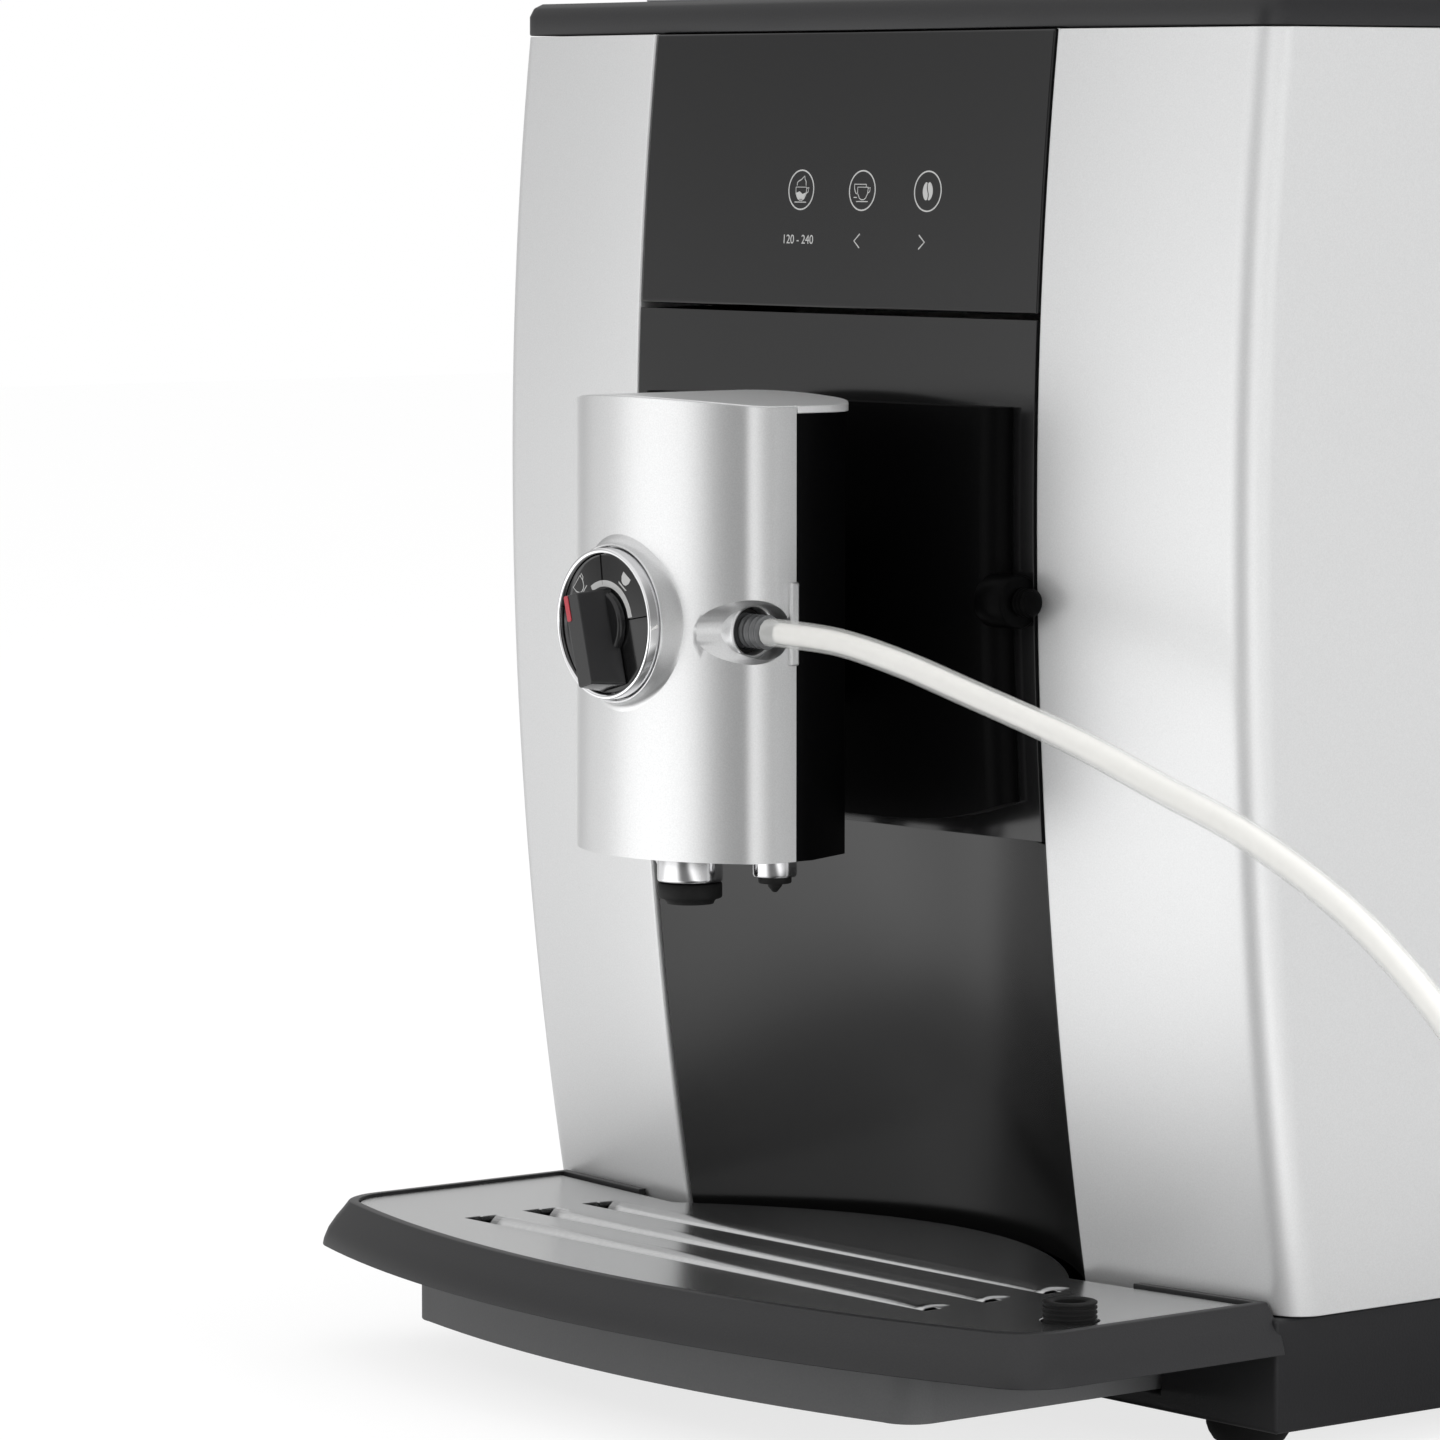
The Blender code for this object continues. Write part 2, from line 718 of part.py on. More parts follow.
def top_cover():
    outline = body_outline(SHELL_TOP)
    levels = [
        (SHELL_TOP + GAP, 0.0),
        (TOP_SURFACE - TOP_EDGE_ROUNDING, 0.0),
        (TOP_SURFACE - TOP_EDGE_ROUNDING / 3, TOP_EDGE_ROUNDING / 3),
        (TOP_SURFACE, TOP_EDGE_ROUNDING),
    ]
    rings = [[(x, y, z) for x, y in inward(outline, inset, closed=True)] for z, inset in levels]
    cover = loft("top_cover", rings, black_matt())
    under = SHELL_TOP - OVERRUN
    over = TOP_SURFACE + OVERRUN
    clear = OPENING_CLEARANCE
    openings = [
        ((TANK_LEFT - clear, TANK_FRONT - clear, under), (TANK_RIGHT + clear, TANK_REAR + clear, over)),
        ((GRINDER_X - HOPPER_HALF_WIDTH - clear, GRINDER_Y - HOPPER_HALF_DEPTH - clear, under),
         (GRINDER_X + HOPPER_HALF_WIDTH + clear, GRINDER_Y + HOPPER_HALF_DEPTH + clear, over)),
        ((CHUTE_X - CHUTE_HALF_WIDTH - GAP, CHUTE_Y - CHUTE_HALF_DEPTH - GAP, under),
         (CHUTE_X + CHUTE_HALF_WIDTH + GAP, CHUTE_Y + CHUTE_HALF_DEPTH + GAP, over)),
    ]
    cut(cover, slabs("top_openings", openings))
    hole = rod(KNOB_SHAFT_RADIUS + SHAFT_CLEARANCE, under, over)
    cut(cover, turned("knob_hole", hole, (GRINDER_X, KNOB_Y, 0), Z_AXIS, black_matt()))


def cup_plate():
    bottom = TOP_SURFACE + GAP
    top = bottom + CUP_PLATE_THICKNESS
    plate = slab("cup_plate", (-CUP_PLATE_HALF_WIDTH, CUP_PLATE_FRONT, bottom),
                 (CUP_PLATE_HALF_WIDTH, CUP_PLATE_REAR, top), steel())
    pitch = (CUP_PLATE_REAR - CUP_PLATE_FRONT) / (CUP_SLOT_COUNT + 1)
    reach = CUP_PLATE_HALF_WIDTH - pitch
    cuts = []
    for i in range(CUP_SLOT_COUNT):
        y = CUP_PLATE_FRONT + pitch * (i + 1)
        cuts.append(((-reach, y - CUP_SLOT_WIDTH / 2, bottom + CUP_PLATE_THICKNESS / 2),
                     (reach, y + CUP_SLOT_WIDTH / 2, top + OVERRUN)))
    cut(plate, slabs("cup_plate_grooves", cuts))


# Front: fascia, touch panel, guide, splash panel

def fascia_path(z, set_back):
    half = CENTRE_HALF_WIDTH
    back = BULKHEAD_FRONT - GAP
    return [(-half, back)] + centre_arc(z, set_back) + [(half, back)]


def front_fascia():
    """The fascia, stepped back above to carry the touch panel, with the ceiling of the cup space."""
    set_back = TOUCH_THICKNESS + GAP
    levels = [(z, 0.0, 0.0) for z in between(FASCIA_BOTTOM, FASCIA_STEP - WALL * 2, 4)]
    levels += [(FASCIA_STEP - WALL, 0.0, set_back), (FASCIA_STEP, 0.0, set_back)]
    levels += [(z, set_back, set_back) for z in between(FASCIA_STEP + PANEL_JOINT, SHELL_TOP, 3)]
    rings = []
    for z, outer_back, inner_back in levels:
        ring = fascia_path(z, outer_back) + list(reversed(inward(fascia_path(z, inner_back), WALL)))
        rings.append([(x, y, z) for x, y in ring])
    fascia = loft("front_fascia", rings, black_gloss(), strip=True)
    edge = centre_arc(FASCIA_BOTTOM, WALL / 2, CENTRE_HALF_WIDTH - WALL / 2)
    back = BULKHEAD_FRONT - GAP * 2
    ceiling = edge + [(edge[-1][0], back), (edge[0][0], back)]
    bottom = FASCIA_BOTTOM + GAP
    join(fascia, prism("cup_space_ceiling", ceiling, bottom, bottom + CEILING_THICKNESS, black_gloss()))
    slot_bottom = CARRIAGE_BOTTOM - SPOUT_LOWER - OVERRUN / 2
    slot_top = CARRIAGE_TOP + SPOUT_RAISE + OVERRUN / 2
    cut(fascia, tool_slab("fascia_slot", (-SLOT_HALF_WIDTH, FRONT - OVERRUN, slot_bottom),
                          (SLOT_HALF_WIDTH, FRONT + WALL + OVERRUN, slot_top)))


def skin(name, stations, levels, front_of, back_of, material):
    """A curved plate: at each station across, a closed strip up its front and down its back."""
    rings = []
    for x in stations:
        heights = levels(x)
        ring = [(x, front_of(x, z), z) for z in heights]
        ring += [(x, back_of(x, z), z) for z in reversed(heights)]
        rings.append(ring)
    return loft(name, rings, material, strip=True)


def touch_panel():
    stations = between(-CENTRE_HALF_WIDTH, CENTRE_HALF_WIDTH, 11)
    skin("touch_panel", stations, lambda x: between(TOUCH_BOTTOM, SHELL_TOP, 4), front,
         lambda x, z: front(x, z) + TOUCH_THICKNESS, black_gloss())


def display_board():
    low = TOUCH_BOTTOM + WALL
    edge = front(DISPLAY_HALF_WIDTH, low + DISPLAY_HEIGHT)
    face = edge + TOUCH_THICKNESS + GAP + WALL + GAP
    slab("display_board", (-DISPLAY_HALF_WIDTH, face, low),
         (DISPLAY_HALF_WIDTH, face + DISPLAY_THICKNESS, low + DISPLAY_HEIGHT), board_green())


def guide_bottom(x):
    """The guide's lower edge, which rises to its rounded corners."""
    share = abs(x) / GUIDE_HALF_WIDTH
    return GUIDE_BOTTOM + GUIDE_CORNER_RISE * share ** 4


def spout_guide():
    inner = GUIDE_HALF_WIDTH - GUIDE_DEPTH
    stations = [-GUIDE_HALF_WIDTH] + between(-inner, inner, 11) + [GUIDE_HALF_WIDTH]

    def face(x, z):
        rounding = GUIDE_DEPTH * 2 / 3 if abs(x) > inner + GAP else 0.0
        return front(x, z) - GUIDE_DEPTH + rounding

    def levels(x):
        return between(guide_bottom(x), GUIDE_TOP, 5)

    guide = skin("spout_guide", stations, levels, face, lambda x, z: front(x, z) - GAP, black_matt())
    slot_bottom = CARRIAGE_BOTTOM - SPOUT_LOWER - OVERRUN / 2
    slot_top = CARRIAGE_TOP + SPOUT_RAISE + OVERRUN / 2
    cut(guide, tool_slab("guide_slot", (-SLOT_HALF_WIDTH, FRONT - GUIDE_DEPTH - OVERRUN, slot_bottom),
                         (SLOT_HALF_WIDTH, FRONT + OVERRUN, slot_top)))


def hose_parking_spigot():
    start = GUIDE_HALF_WIDTH + GAP
    pitch = SPIGOT_REACH / 4
    radius = SPIGOT_RADIUS
    profile = [(0, start)]
    for i in range(4):
        along = start + pitch * i
        profile += [(radius, along), (radius, along + pitch / 2), (radius - SPIGOT_RIB, along + pitch / 2),
                    (radius - SPIGOT_RIB, along + pitch)]
        radius -= SPIGOT_RIB
    profile += [(0, start + SPIGOT_REACH)]
    y = front(GUIDE_HALF_WIDTH, SPIGOT_HEIGHT) - SPIGOT_RADIUS - GAP
    turned("hose_parking_spigot", profile, (0, y, SPIGOT_HEIGHT), X_AXIS, rubber(), steps=16)


def splash_panel():
    bottom = BASE_TOP + GAP * 2
    top = FASCIA_BOTTOM - GAP
    edge = CENTRE_HALF_WIDTH
    skin("splash_panel", between(-edge, edge, 17), lambda x: between(bottom, top, 5), splash_front,
         lambda x, z: splash_front(x, z) + SPLASH_THICKNESS, black_gloss())


# Drip tray

def tray_back(x):
    """The line behind the tray: the foot of the cheeks and of the splash panel."""
    if abs(x) < CENTRE_HALF_WIDTH:
        return splash_front(x, PLATE_TOP)
    inner = CENTRE_HALF_WIDTH + PANEL_JOINT
    run = SIDE - CHEEK_CORNER - inner
    share = min(1.0, max(0.0, abs(x) - inner) / run)
    return front(inner, PLATE_TOP) + CHEEK_DROP * share


def plate_outline(grow, back_gap):
    """The drip plate's plan, grown outwards by the rim and the skirt."""
    apex = FRONT - TRAY_REACH + PLATE_APEX_SET_BACK - grow
    radius = PLATE_FRONT_RADIUS
    half = PLATE_HALF_WIDTH + grow
    corner = PLATE_CORNER
    reach = half - corner
    lean = math.degrees(math.asin(reach / (radius - corner)))
    centre = (0, apex + radius)
    corner_centre = (reach, centre[1] - math.cos(math.radians(lean)) * (radius - corner))
    front_line = arc(centre, radius, -90, -90 + lean, 6)[1:-1]
    right = front_line + arc(corner_centre, corner, -90 + lean, 0, 5)
    back = [(half, tray_back(half) - back_gap)]
    for x in between(CENTRE_HALF_WIDTH + PANEL_JOINT, 0, 9)[:-1]:
        back.append((x, tray_back(x) - back_gap))
    right += back
    left = mirrored(right)
    return [(0, apex)] + right + [(0, tray_back(0) - back_gap)] + left


def box_outline(inset):
    half = BOX_HALF_WIDTH - inset
    corner = BOX_CORNER - inset
    front_y = FRONT - TRAY_REACH + PLATE_APEX_SET_BACK + BOX_FRONT_SET_BACK + inset
    sag = half * half / (2 * PLATE_FRONT_RADIUS)
    middle = [(x, front_y + x * x / (2 * PLATE_FRONT_RADIUS)) for x in between(-half / 2, half / 2, 5)]
    right = arc((half - corner, front_y + sag + corner), corner, -80, 0, 4)
    return middle + right + [(half, BOX_REAR - inset), (-half, BOX_REAR - inset)] + mirrored(right)


def drip_tray():
    skirt_bottom = PLATE_TOP + RIM_RISE - SKIRT_HEIGHT
    rim_top = PLATE_TOP + RIM_RISE
    gap = TRAY_BACK_CLEARANCE
    rings = []
    for z, grow in ((skirt_bottom, RIM_WIDTH + SKIRT_FLARE), (rim_top - RIM_RISE * 2, RIM_WIDTH * 1.2),
                    (rim_top, RIM_WIDTH)):
        rings.append([(x, y, z) for x, y in plate_outline(grow, gap)])
    tray = loft("drip_tray", rings, dark_grey(), (0, FRONT, rim_top))
    floor = FOOT_HEIGHT + BASE_FLOOR + GAP
    join(tray, prism("tray_box", box_outline(0.0), floor, BOX_TOP, dark_grey()))
    seat = PLATE_TOP - PLATE_THICKNESS - GAP
    recess = plate_outline(GAP, gap + RIM_WIDTH)
    cut(tray, prism("plate_seat", recess, seat, rim_top + OVERRUN, dark_grey()))
    basin = box_outline(TRAY_WALL)
    cut(tray, prism("tray_basin", basin, floor + TRAY_WALL, BOX_TOP + RIM_WIDTH + OVERRUN, dark_grey()))
    well = rod(FLOAT_RADIUS + FLOAT_CLEARANCE, seat - FLOAT_WELL_FLOOR / 2, rim_top + OVERRUN)
    cut(tray, turned("float_well", well, (FLOAT_X, FLOAT_Y, 0), Z_AXIS, dark_grey()))


def drip_plate():
    bottom = PLATE_TOP - PLATE_THICKNESS
    back_gap = TRAY_BACK_CLEARANCE + RIM_WIDTH + GAP
    plate = prism("drip_plate", plate_outline(0.0, back_gap), bottom, PLATE_TOP, silver(), (0, FRONT, bottom))
    cuts = []
    for i in range(SLOT_COUNT):
        y = SLOT_FRONT + SLOT_PITCH * i
        cuts.append(((-SLOT_REACH, y - SLOT_WIDTH / 2, bottom - OVERRUN),
                     (SLOT_REACH, y + SLOT_WIDTH / 2, PLATE_TOP + OVERRUN)))
    cut(plate, slabs("plate_slots", cuts))
    hole = rod(FLOAT_RADIUS + FLOAT_CLEARANCE, bottom - OVERRUN, PLATE_TOP + OVERRUN)
    cut(plate, turned("float_hole", hole, (FLOAT_X, FLOAT_Y, 0), Z_AXIS, dark_grey()))


def drip_float():
    seat = PLATE_TOP - PLATE_THICKNESS - GAP
    bottom = seat - FLOAT_WELL_FLOOR / 2 + GAP
    top = PLATE_TOP + FLOAT_RISE
    groove = FLOAT_CLEARANCE
    middle = (PLATE_TOP + top) / 2
    profile = [(FLOAT_BORE, bottom), (FLOAT_RADIUS, bottom), (FLOAT_RADIUS, middle - groove),
               (FLOAT_RADIUS - groove, middle), (FLOAT_RADIUS, middle + groove), (FLOAT_RADIUS, top - groove),
               (FLOAT_RADIUS - groove, top), (FLOAT_BORE + groove, top), (FLOAT_BORE, top - groove)]
    turned("drip_float", profile, (FLOAT_X, FLOAT_Y, 0), Z_AXIS, rubber(), (FLOAT_X, FLOAT_Y, bottom))


# Water tank

def water_tank():
    top = TOP_SURFACE - TANK_RIM_DROP
    tank = slab("water_tank", (TANK_LEFT, TANK_FRONT, FLOOR), (TANK_RIGHT, TANK_REAR, top), clear_plastic(),
                (TANK_LEFT, TANK_REAR, FLOOR))
    wall = TANK_WALL
    cut(tank, tool_slab("tank_hollow", (TANK_LEFT + wall, TANK_FRONT + wall, FLOOR + wall),
                        (TANK_RIGHT - wall, TANK_REAR - wall, top + OVERRUN)))


def tank_lid():
    bottom = TOP_SURFACE + GAP
    lap = OPENING_CLEARANCE + LID_LAP
    high = (TANK_RIGHT + lap, TANK_REAR + lap, bottom + LID_THICKNESS)
    slab("tank_lid", (TANK_LEFT - lap, TANK_FRONT - lap, bottom), high, black_matt(),
         ((TANK_LEFT + TANK_RIGHT) / 2, high[1], high[2]))


# Hopper, grinder and chute

def rounded_ring(half_x, half_y, corner, z, centre):
    """A ring of 24 points: a circle when the corner radius is the whole half width."""
    points = []
    for sign_x, sign_y, start in ((1, 1, 0), (-1, 1, 90), (-1, -1, 180), (1, -1, 270)):
        middle = (centre[0] + sign_x * (half_x - corner), centre[1] + sign_y * (half_y - corner))
        points += [(x, y, z) for x, y in arc(middle, corner, start, start + 75, 6)]
    return points


def hopper_rings(wall, bottom, top):
    centre = (GRINDER_X, GRINDER_Y)
    neck = HOPPER_NECK_RADIUS if wall == 0 else HOPPER_OUTLET_RADIUS
    corner = HOPPER_CORNER - wall
    half_x = HOPPER_HALF_WIDTH - wall
    half_y = HOPPER_HALF_DEPTH - wall
    return [
        rounded_ring(neck, neck, neck, bottom, centre),
        rounded_ring(neck, neck, neck, HOPPER_NECK_TOP, centre),
        rounded_ring(half_x, half_y, corner, HOPPER_SHOULDER + wall, centre),
        rounded_ring(half_x, half_y, corner, top, centre),
    ]


def bean_hopper():
    bottom = GRINDER_TOP + GAP
    top = TOP_SURFACE - TANK_RIM_DROP
    hopper = loft("bean_hopper", hopper_rings(0, bottom, top), clear_plastic())
    cut(hopper, loft("hopper_hollow", hopper_rings(HOPPER_WALL, bottom - OVERRUN, top + OVERRUN), clear_plastic()))


def bean_lid():
    bottom = TOP_SURFACE + GAP
    lap = OPENING_CLEARANCE + LID_LAP
    half_x = HOPPER_HALF_WIDTH + lap
    half_y = HOPPER_HALF_DEPTH + lap
    high = (GRINDER_X + half_x, GRINDER_Y + half_y, bottom + LID_THICKNESS)
    slab("bean_lid", (GRINDER_X - half_x, GRINDER_Y - half_y, bottom), high, clear_plastic(),
         (GRINDER_X, high[1], high[2]))


def grinder():
    axis = (GRINDER_X, GRINDER_Y, 0)
    foot = FLOOR + MOTOR_FOOT_HEIGHT
    motor = [(0, FLOOR), (MOTOR_FOOT_RADIUS, FLOOR), (MOTOR_FOOT_RADIUS, foot), (MOTOR_RADIUS, foot),
             (MOTOR_RADIUS, MOTOR_TOP), (0, MOTOR_TOP)]
    turned("grinder_motor", motor, axis, Z_AXIS, steel())
    base = MOTOR_TOP + GAP
    floor = base + GRINDER_FLOOR
    shaft_hole = BURR_SHAFT_RADIUS + SHAFT_CLEARANCE
    body = [(shaft_hole, base), (GRINDER_RADIUS, base), (GRINDER_RADIUS, GRINDER_TOP),
            (GRINDER_BORE, GRINDER_TOP), (GRINDER_BORE, floor), (shaft_hole, floor)]
    housing = turned("grinder_housing", body, axis, Z_AXIS, dark_grey())
    lug = tool_slab("setting_lug", (GRINDER_X - LUG_WIDTH / 2, KNOB_Y - LUG_WIDTH / 2, GRINDER_TOP - LUG_THICKNESS),
                    (GRINDER_X + LUG_WIDTH / 2, GRINDER_Y - GRINDER_BORE - WALL, GRINDER_TOP - GAP))
    join(housing, lug)
    burr = GRINDER_BORE - BURR_CLEARANCE
    lower = floor + BURR_CLEARANCE
    lower_top = lower + BURR_HEIGHT
    turned("lower_burr",
           [(0, base + GAP), (BURR_SHAFT_RADIUS, base + GAP), (BURR_SHAFT_RADIUS, lower), (burr, lower),
            (burr, lower_top - BURR_SPACING), (BURR_SHAFT_RADIUS, lower_top + BURR_SPACING),
            (0, lower_top + BURR_SPACING)],
           axis, Z_AXIS, steel(), (GRINDER_X, GRINDER_Y, lower))
    upper = lower_top + BURR_SPACING
    turned("upper_burr",
           [(BURR_THROAT, upper + BURR_SPACING), (burr, upper - BURR_SPACING), (burr, upper + BURR_HEIGHT),
            (BURR_THROAT, upper + BURR_HEIGHT)],
           axis, Z_AXIS, steel())


def grind_knob():
    shaft_bottom = GRINDER_TOP
    bottom = TOP_SURFACE + GAP
    profile = [(0, shaft_bottom), (KNOB_SHAFT_RADIUS, shaft_bottom), (KNOB_SHAFT_RADIUS, bottom),
               (KNOB_RADIUS, bottom), (KNOB_RADIUS, bottom + KNOB_HEIGHT * 0.7),
               (KNOB_RADIUS - KNOB_HEIGHT * 0.3, bottom + KNOB_HEIGHT), (0, bottom + KNOB_HEIGHT)]
    turned("grind_knob", profile, (GRINDER_X, KNOB_Y, 0), Z_AXIS, black_matt(), (GRINDER_X, KNOB_Y, bottom))


def ground_chute():
    bottom = TOP_SURFACE - CHUTE_DEPTH
    flange_bottom = TOP_SURFACE + GAP
    flange_top = flange_bottom + CHUTE_FLANGE_THICKNESS
    left, right = CHUTE_X - CHUTE_HALF_WIDTH, CHUTE_X + CHUTE_HALF_WIDTH
    near, far = CHUTE_Y - CHUTE_HALF_DEPTH, CHUTE_Y + CHUTE_HALF_DEPTH
    chute = slab("ground_chute", (left, near, bottom), (right, far, flange_top - GAP), dark_grey())
    join(chute, tool_slab("chute_flange", (left - CHUTE_FLANGE, near - CHUTE_FLANGE, flange_bottom),
                          (right + CHUTE_FLANGE, far + CHUTE_FLANGE, flange_top)))
    wall = CHUTE_WALL
    cut(chute, tool_slab("chute_hollow", (left + wall, near + wall, bottom - OVERRUN),
                         (right - wall, far - wall, flange_top + OVERRUN)))
    lid_bottom = flange_top + GAP
    rear = far + CHUTE_FLANGE
    slab("chute_flap", (left - CHUTE_FLANGE, near - CHUTE_FLANGE, lid_bottom),
         (right + CHUTE_FLANGE, rear, lid_bottom + FLAP_THICKNESS), black_matt(),
         (CHUTE_X, rear, lid_bottom + FLAP_THICKNESS))


# Brew unit and grounds container

def brew_frame():
    left, right = BREW_FRAME_LEFT, BREW_FRAME_RIGHT
    platform = PLATFORM_HEIGHT
    frame = slab("brew_frame", (left, BREW_FRAME_FRONT, platform), (right, BREW_FRAME_REAR, platform + BREW_PLATE),
                 grey_plastic())
    join(frame, tool_slab("brew_frame_front", (left, BREW_FRAME_FRONT, FLOOR),
                          (right, BREW_FRAME_FRONT + BREW_PLATE, platform + BREW_PLATE / 2)))
    join(frame, tool_slab("brew_frame_rear", (left, BREW_FRAME_REAR - BREW_PLATE, FLOOR),
                          (right, BREW_FRAME_REAR, SHELF_HEIGHT + BREW_PLATE / 2)))
    join(frame, tool_slab("brew_frame_shelf", (left, BREW_FRAME_REAR - SHELF_DEPTH, SHELF_HEIGHT),
                          (right, BREW_FRAME_REAR - BREW_PLATE / 2, SHELF_HEIGHT + BREW_PLATE)))
    drop = rod(CYLINDER_BORE * 0.8, platform - OVERRUN, platform + BREW_PLATE + OVERRUN)
    cut(frame, turned("puck_drop", drop, (BREW_X, BREW_Y, 0), Z_AXIS, grey_plastic()))


def brew_unit():
    bottom = PLATFORM_HEIGHT + BREW_PLATE + GAP
    top = bottom + CYLINDER_HEIGHT
    turned("brew_cylinder", tube(CYLINDER_RADIUS, CYLINDER_BORE, bottom, top), (BREW_X, BREW_Y, 0), Z_AXIS,
           clear_plastic(), steps=FINE_STEPS)
    head = top + PISTON_LIFT
    head_top = head + PISTON_THICKNESS
    radius = CYLINDER_BORE - PISTON_CLEARANCE
    crown = head_top + PISTON_STROKE
    profile = [(0, head), (radius, head), (radius, head_top), (NUT_RADIUS, head_top), (NUT_RADIUS, crown),
               (0, crown)]
    piston = turned("brew_piston", profile, (BREW_X, BREW_Y, 0), Z_AXIS, dark_grey(), (BREW_X, BREW_Y, head),
                    steps=FINE_STEPS)
    arm_bottom = crown - ARM_WIDTH
    join(piston, tool_slab("piston_arm", (BREW_X, BREW_Y - ARM_WIDTH / 2, arm_bottom),
                           (SPINDLE_X, BREW_Y + ARM_WIDTH / 2, crown - GAP)))
    nut = rod(NUT_RADIUS, arm_bottom - GAP, crown + GAP)
    join(piston, turned("piston_nut", nut, (SPINDLE_X, BREW_Y, 0), Z_AXIS, dark_grey()))
    bore = rod(SPINDLE_RADIUS + SPINDLE_CLEARANCE, arm_bottom - OVERRUN, crown + OVERRUN)
    cut(piston, turned("piston_nut_bore", bore, (SPINDLE_X, BREW_Y, 0), Z_AXIS, dark_grey()))
    turned("brew_spindle", rod(SPINDLE_RADIUS, bottom, SHELF_HEIGHT - GAP), (SPINDLE_X, BREW_Y, 0), Z_AXIS,
           steel(), (SPINDLE_X, BREW_Y, bottom))
    shelf = SHELF_HEIGHT + BREW_PLATE + GAP
    half = BREW_MOTOR_WIDTH / 2
    x = BREW_FRAME_RIGHT - half
    slab("brew_motor", (x - half, BREW_Y - half, shelf), (x + half, BREW_Y + half, shelf + BREW_MOTOR_HEIGHT),
         steel(), edge=half / 8)


def grounds_container():
    front_y = BREW_FRAME_FRONT + BREW_PLATE + GROUNDS_FRONT_CLEARANCE
    rear = BREW_FRAME_REAR - BREW_PLATE - GROUNDS_FRONT_CLEARANCE
    top = FLOOR + GROUNDS_HEIGHT
    box = slab("grounds_container", (GROUNDS_LEFT, front_y, FLOOR), (BREW_FRAME_RIGHT, rear, top), dark_grey())
    wall = GROUNDS_WALL
    cut(box, tool_slab("grounds_hollow", (GROUNDS_LEFT + wall, front_y + wall, FLOOR + wall),
                       (BREW_FRAME_RIGHT - wall, rear - wall, top + OVERRUN)))


# Heater, pump, boards and mains parts

def thermoblock():
    low = (THERMOBLOCK_LEFT, THERMOBLOCK_FRONT, FLOOR)
    high = (THERMOBLOCK_LEFT + THERMOBLOCK_WIDTH, THERMOBLOCK_FRONT + THERMOBLOCK_DEPTH, FLOOR + THERMOBLOCK_HEIGHT)
    block = slab("thermoblock", low, high, steel(), edge=THERMOBLOCK_STUB_RADIUS / 2)
    y = (low[1] + high[1]) / 2
    for i, share in enumerate((0.25, 0.75)):
        x = low[0] + THERMOBLOCK_WIDTH * share
        stub = rod(THERMOBLOCK_STUB_RADIUS, high[2] - THERMOBLOCK_STUB_REACH, high[2] + THERMOBLOCK_STUB_REACH)
        join(block, turned(f"thermoblock_stub_{i}", stub, (x, y, 0), Z_AXIS, steel(), steps=12))


def water_pump():
    start = PUMP_FRONT
    end = start + PUMP_LENGTH
    body_start = start + PUMP_LENGTH * 0.25
    body_end = end - PUMP_LENGTH * 0.25
    profile = [(0, start), (PUMP_NOZZLE_RADIUS, start), (PUMP_NOZZLE_RADIUS, start + PUMP_LENGTH / 8),
               (PUMP_CORE_RADIUS, start + PUMP_LENGTH / 8), (PUMP_CORE_RADIUS, body_start),
               (PUMP_RADIUS, body_start), (PUMP_RADIUS, body_end), (PUMP_CORE_RADIUS, body_end),
               (PUMP_CORE_RADIUS, end), (0, end)]
    turned("water_pump", profile, (PUMP_X, 0, FLOOR + PUMP_RADIUS), Y_AXIS, steel())


def control_board():
    outer = SIDE - WALL - GAP
    face = outer - STANDOFF
    rear = BOARD_FRONT + BOARD_LENGTH
    top = BOARD_BOTTOM + BOARD_HEIGHT
    board = slab("control_board", (face - BOARD_THICKNESS, BOARD_FRONT, BOARD_BOTTOM), (face, rear, top),
                 board_green())
    wide = STANDOFF_WIDTH
    posts = []
    for y in (BOARD_FRONT + wide, rear - wide * 2):
        for z in (BOARD_BOTTOM + wide, top - wide * 2):
            posts.append(((face - GAP, y, z), (outer, y + wide, z + wide)))
    for i in range(3):
        y = BOARD_FRONT + BOARD_LENGTH * (i + 1) / 4
        inner = face - BOARD_THICKNESS
        posts.append(((inner - BOARD_PART_HEIGHT, y - wide, BOARD_BOTTOM + BOARD_HEIGHT / 3),
                      (inner + GAP, y + wide * 2, BOARD_BOTTOM + BOARD_HEIGHT / 2)))
    join(board, slabs("board_parts", posts))


def mains_inlet():
    x, z = INLET_X, INLET_HEIGHT
    half_x, half_z = INLET_HALF_WIDTH, INLET_HALF_HEIGHT
    inlet = slab("mains_inlet", (x - half_x, REAR - INLET_DEPTH, z - half_z), (x + half_x, REAR, z + half_z),
                 black_matt())
    lip = INLET_LIP
    cut(inlet, tool_slab("inlet_well", (x - half_x + lip, REAR - INLET_WELL_DEPTH, z - half_z + lip),
                         (x + half_x - lip, REAR + OVERRUN, z + half_z - lip)))
    for i, shift in enumerate((-PIN_SPACING, 0, PIN_SPACING)):
        pin = rod(PIN_RADIUS, REAR - INLET_WELL_DEPTH - lip, REAR - lip)
        join(inlet, turned(f"inlet_pin_{i}", pin, (x + shift, 0, z), Y_AXIS, black_matt(), steps=8))


def power_rocker():
    x, z = ROCKER_X, INLET_HEIGHT
    half_x = ROCKER_HALF_WIDTH
    half_z = ROCKER_HALF_HEIGHT - ROCKER_CLEARANCE
    face = REAR
    inner = REAR - ROCKER_DEPTH
    section = [(face, z - half_z), (face - ROCKER_PROUD, z), (face - ROCKER_PROUD, z + half_z),
               (inner + ROCKER_DEPTH / 2, z + half_z), (inner, z), (inner + ROCKER_DEPTH / 2, z - half_z)]
    rings = [[(side, y, height) for y, height in section] for side in (x - half_x, x + half_x)]
    loft("power_rocker", rings, black_gloss(), (x, inner + ROCKER_DEPTH / 2, z))


# Spout

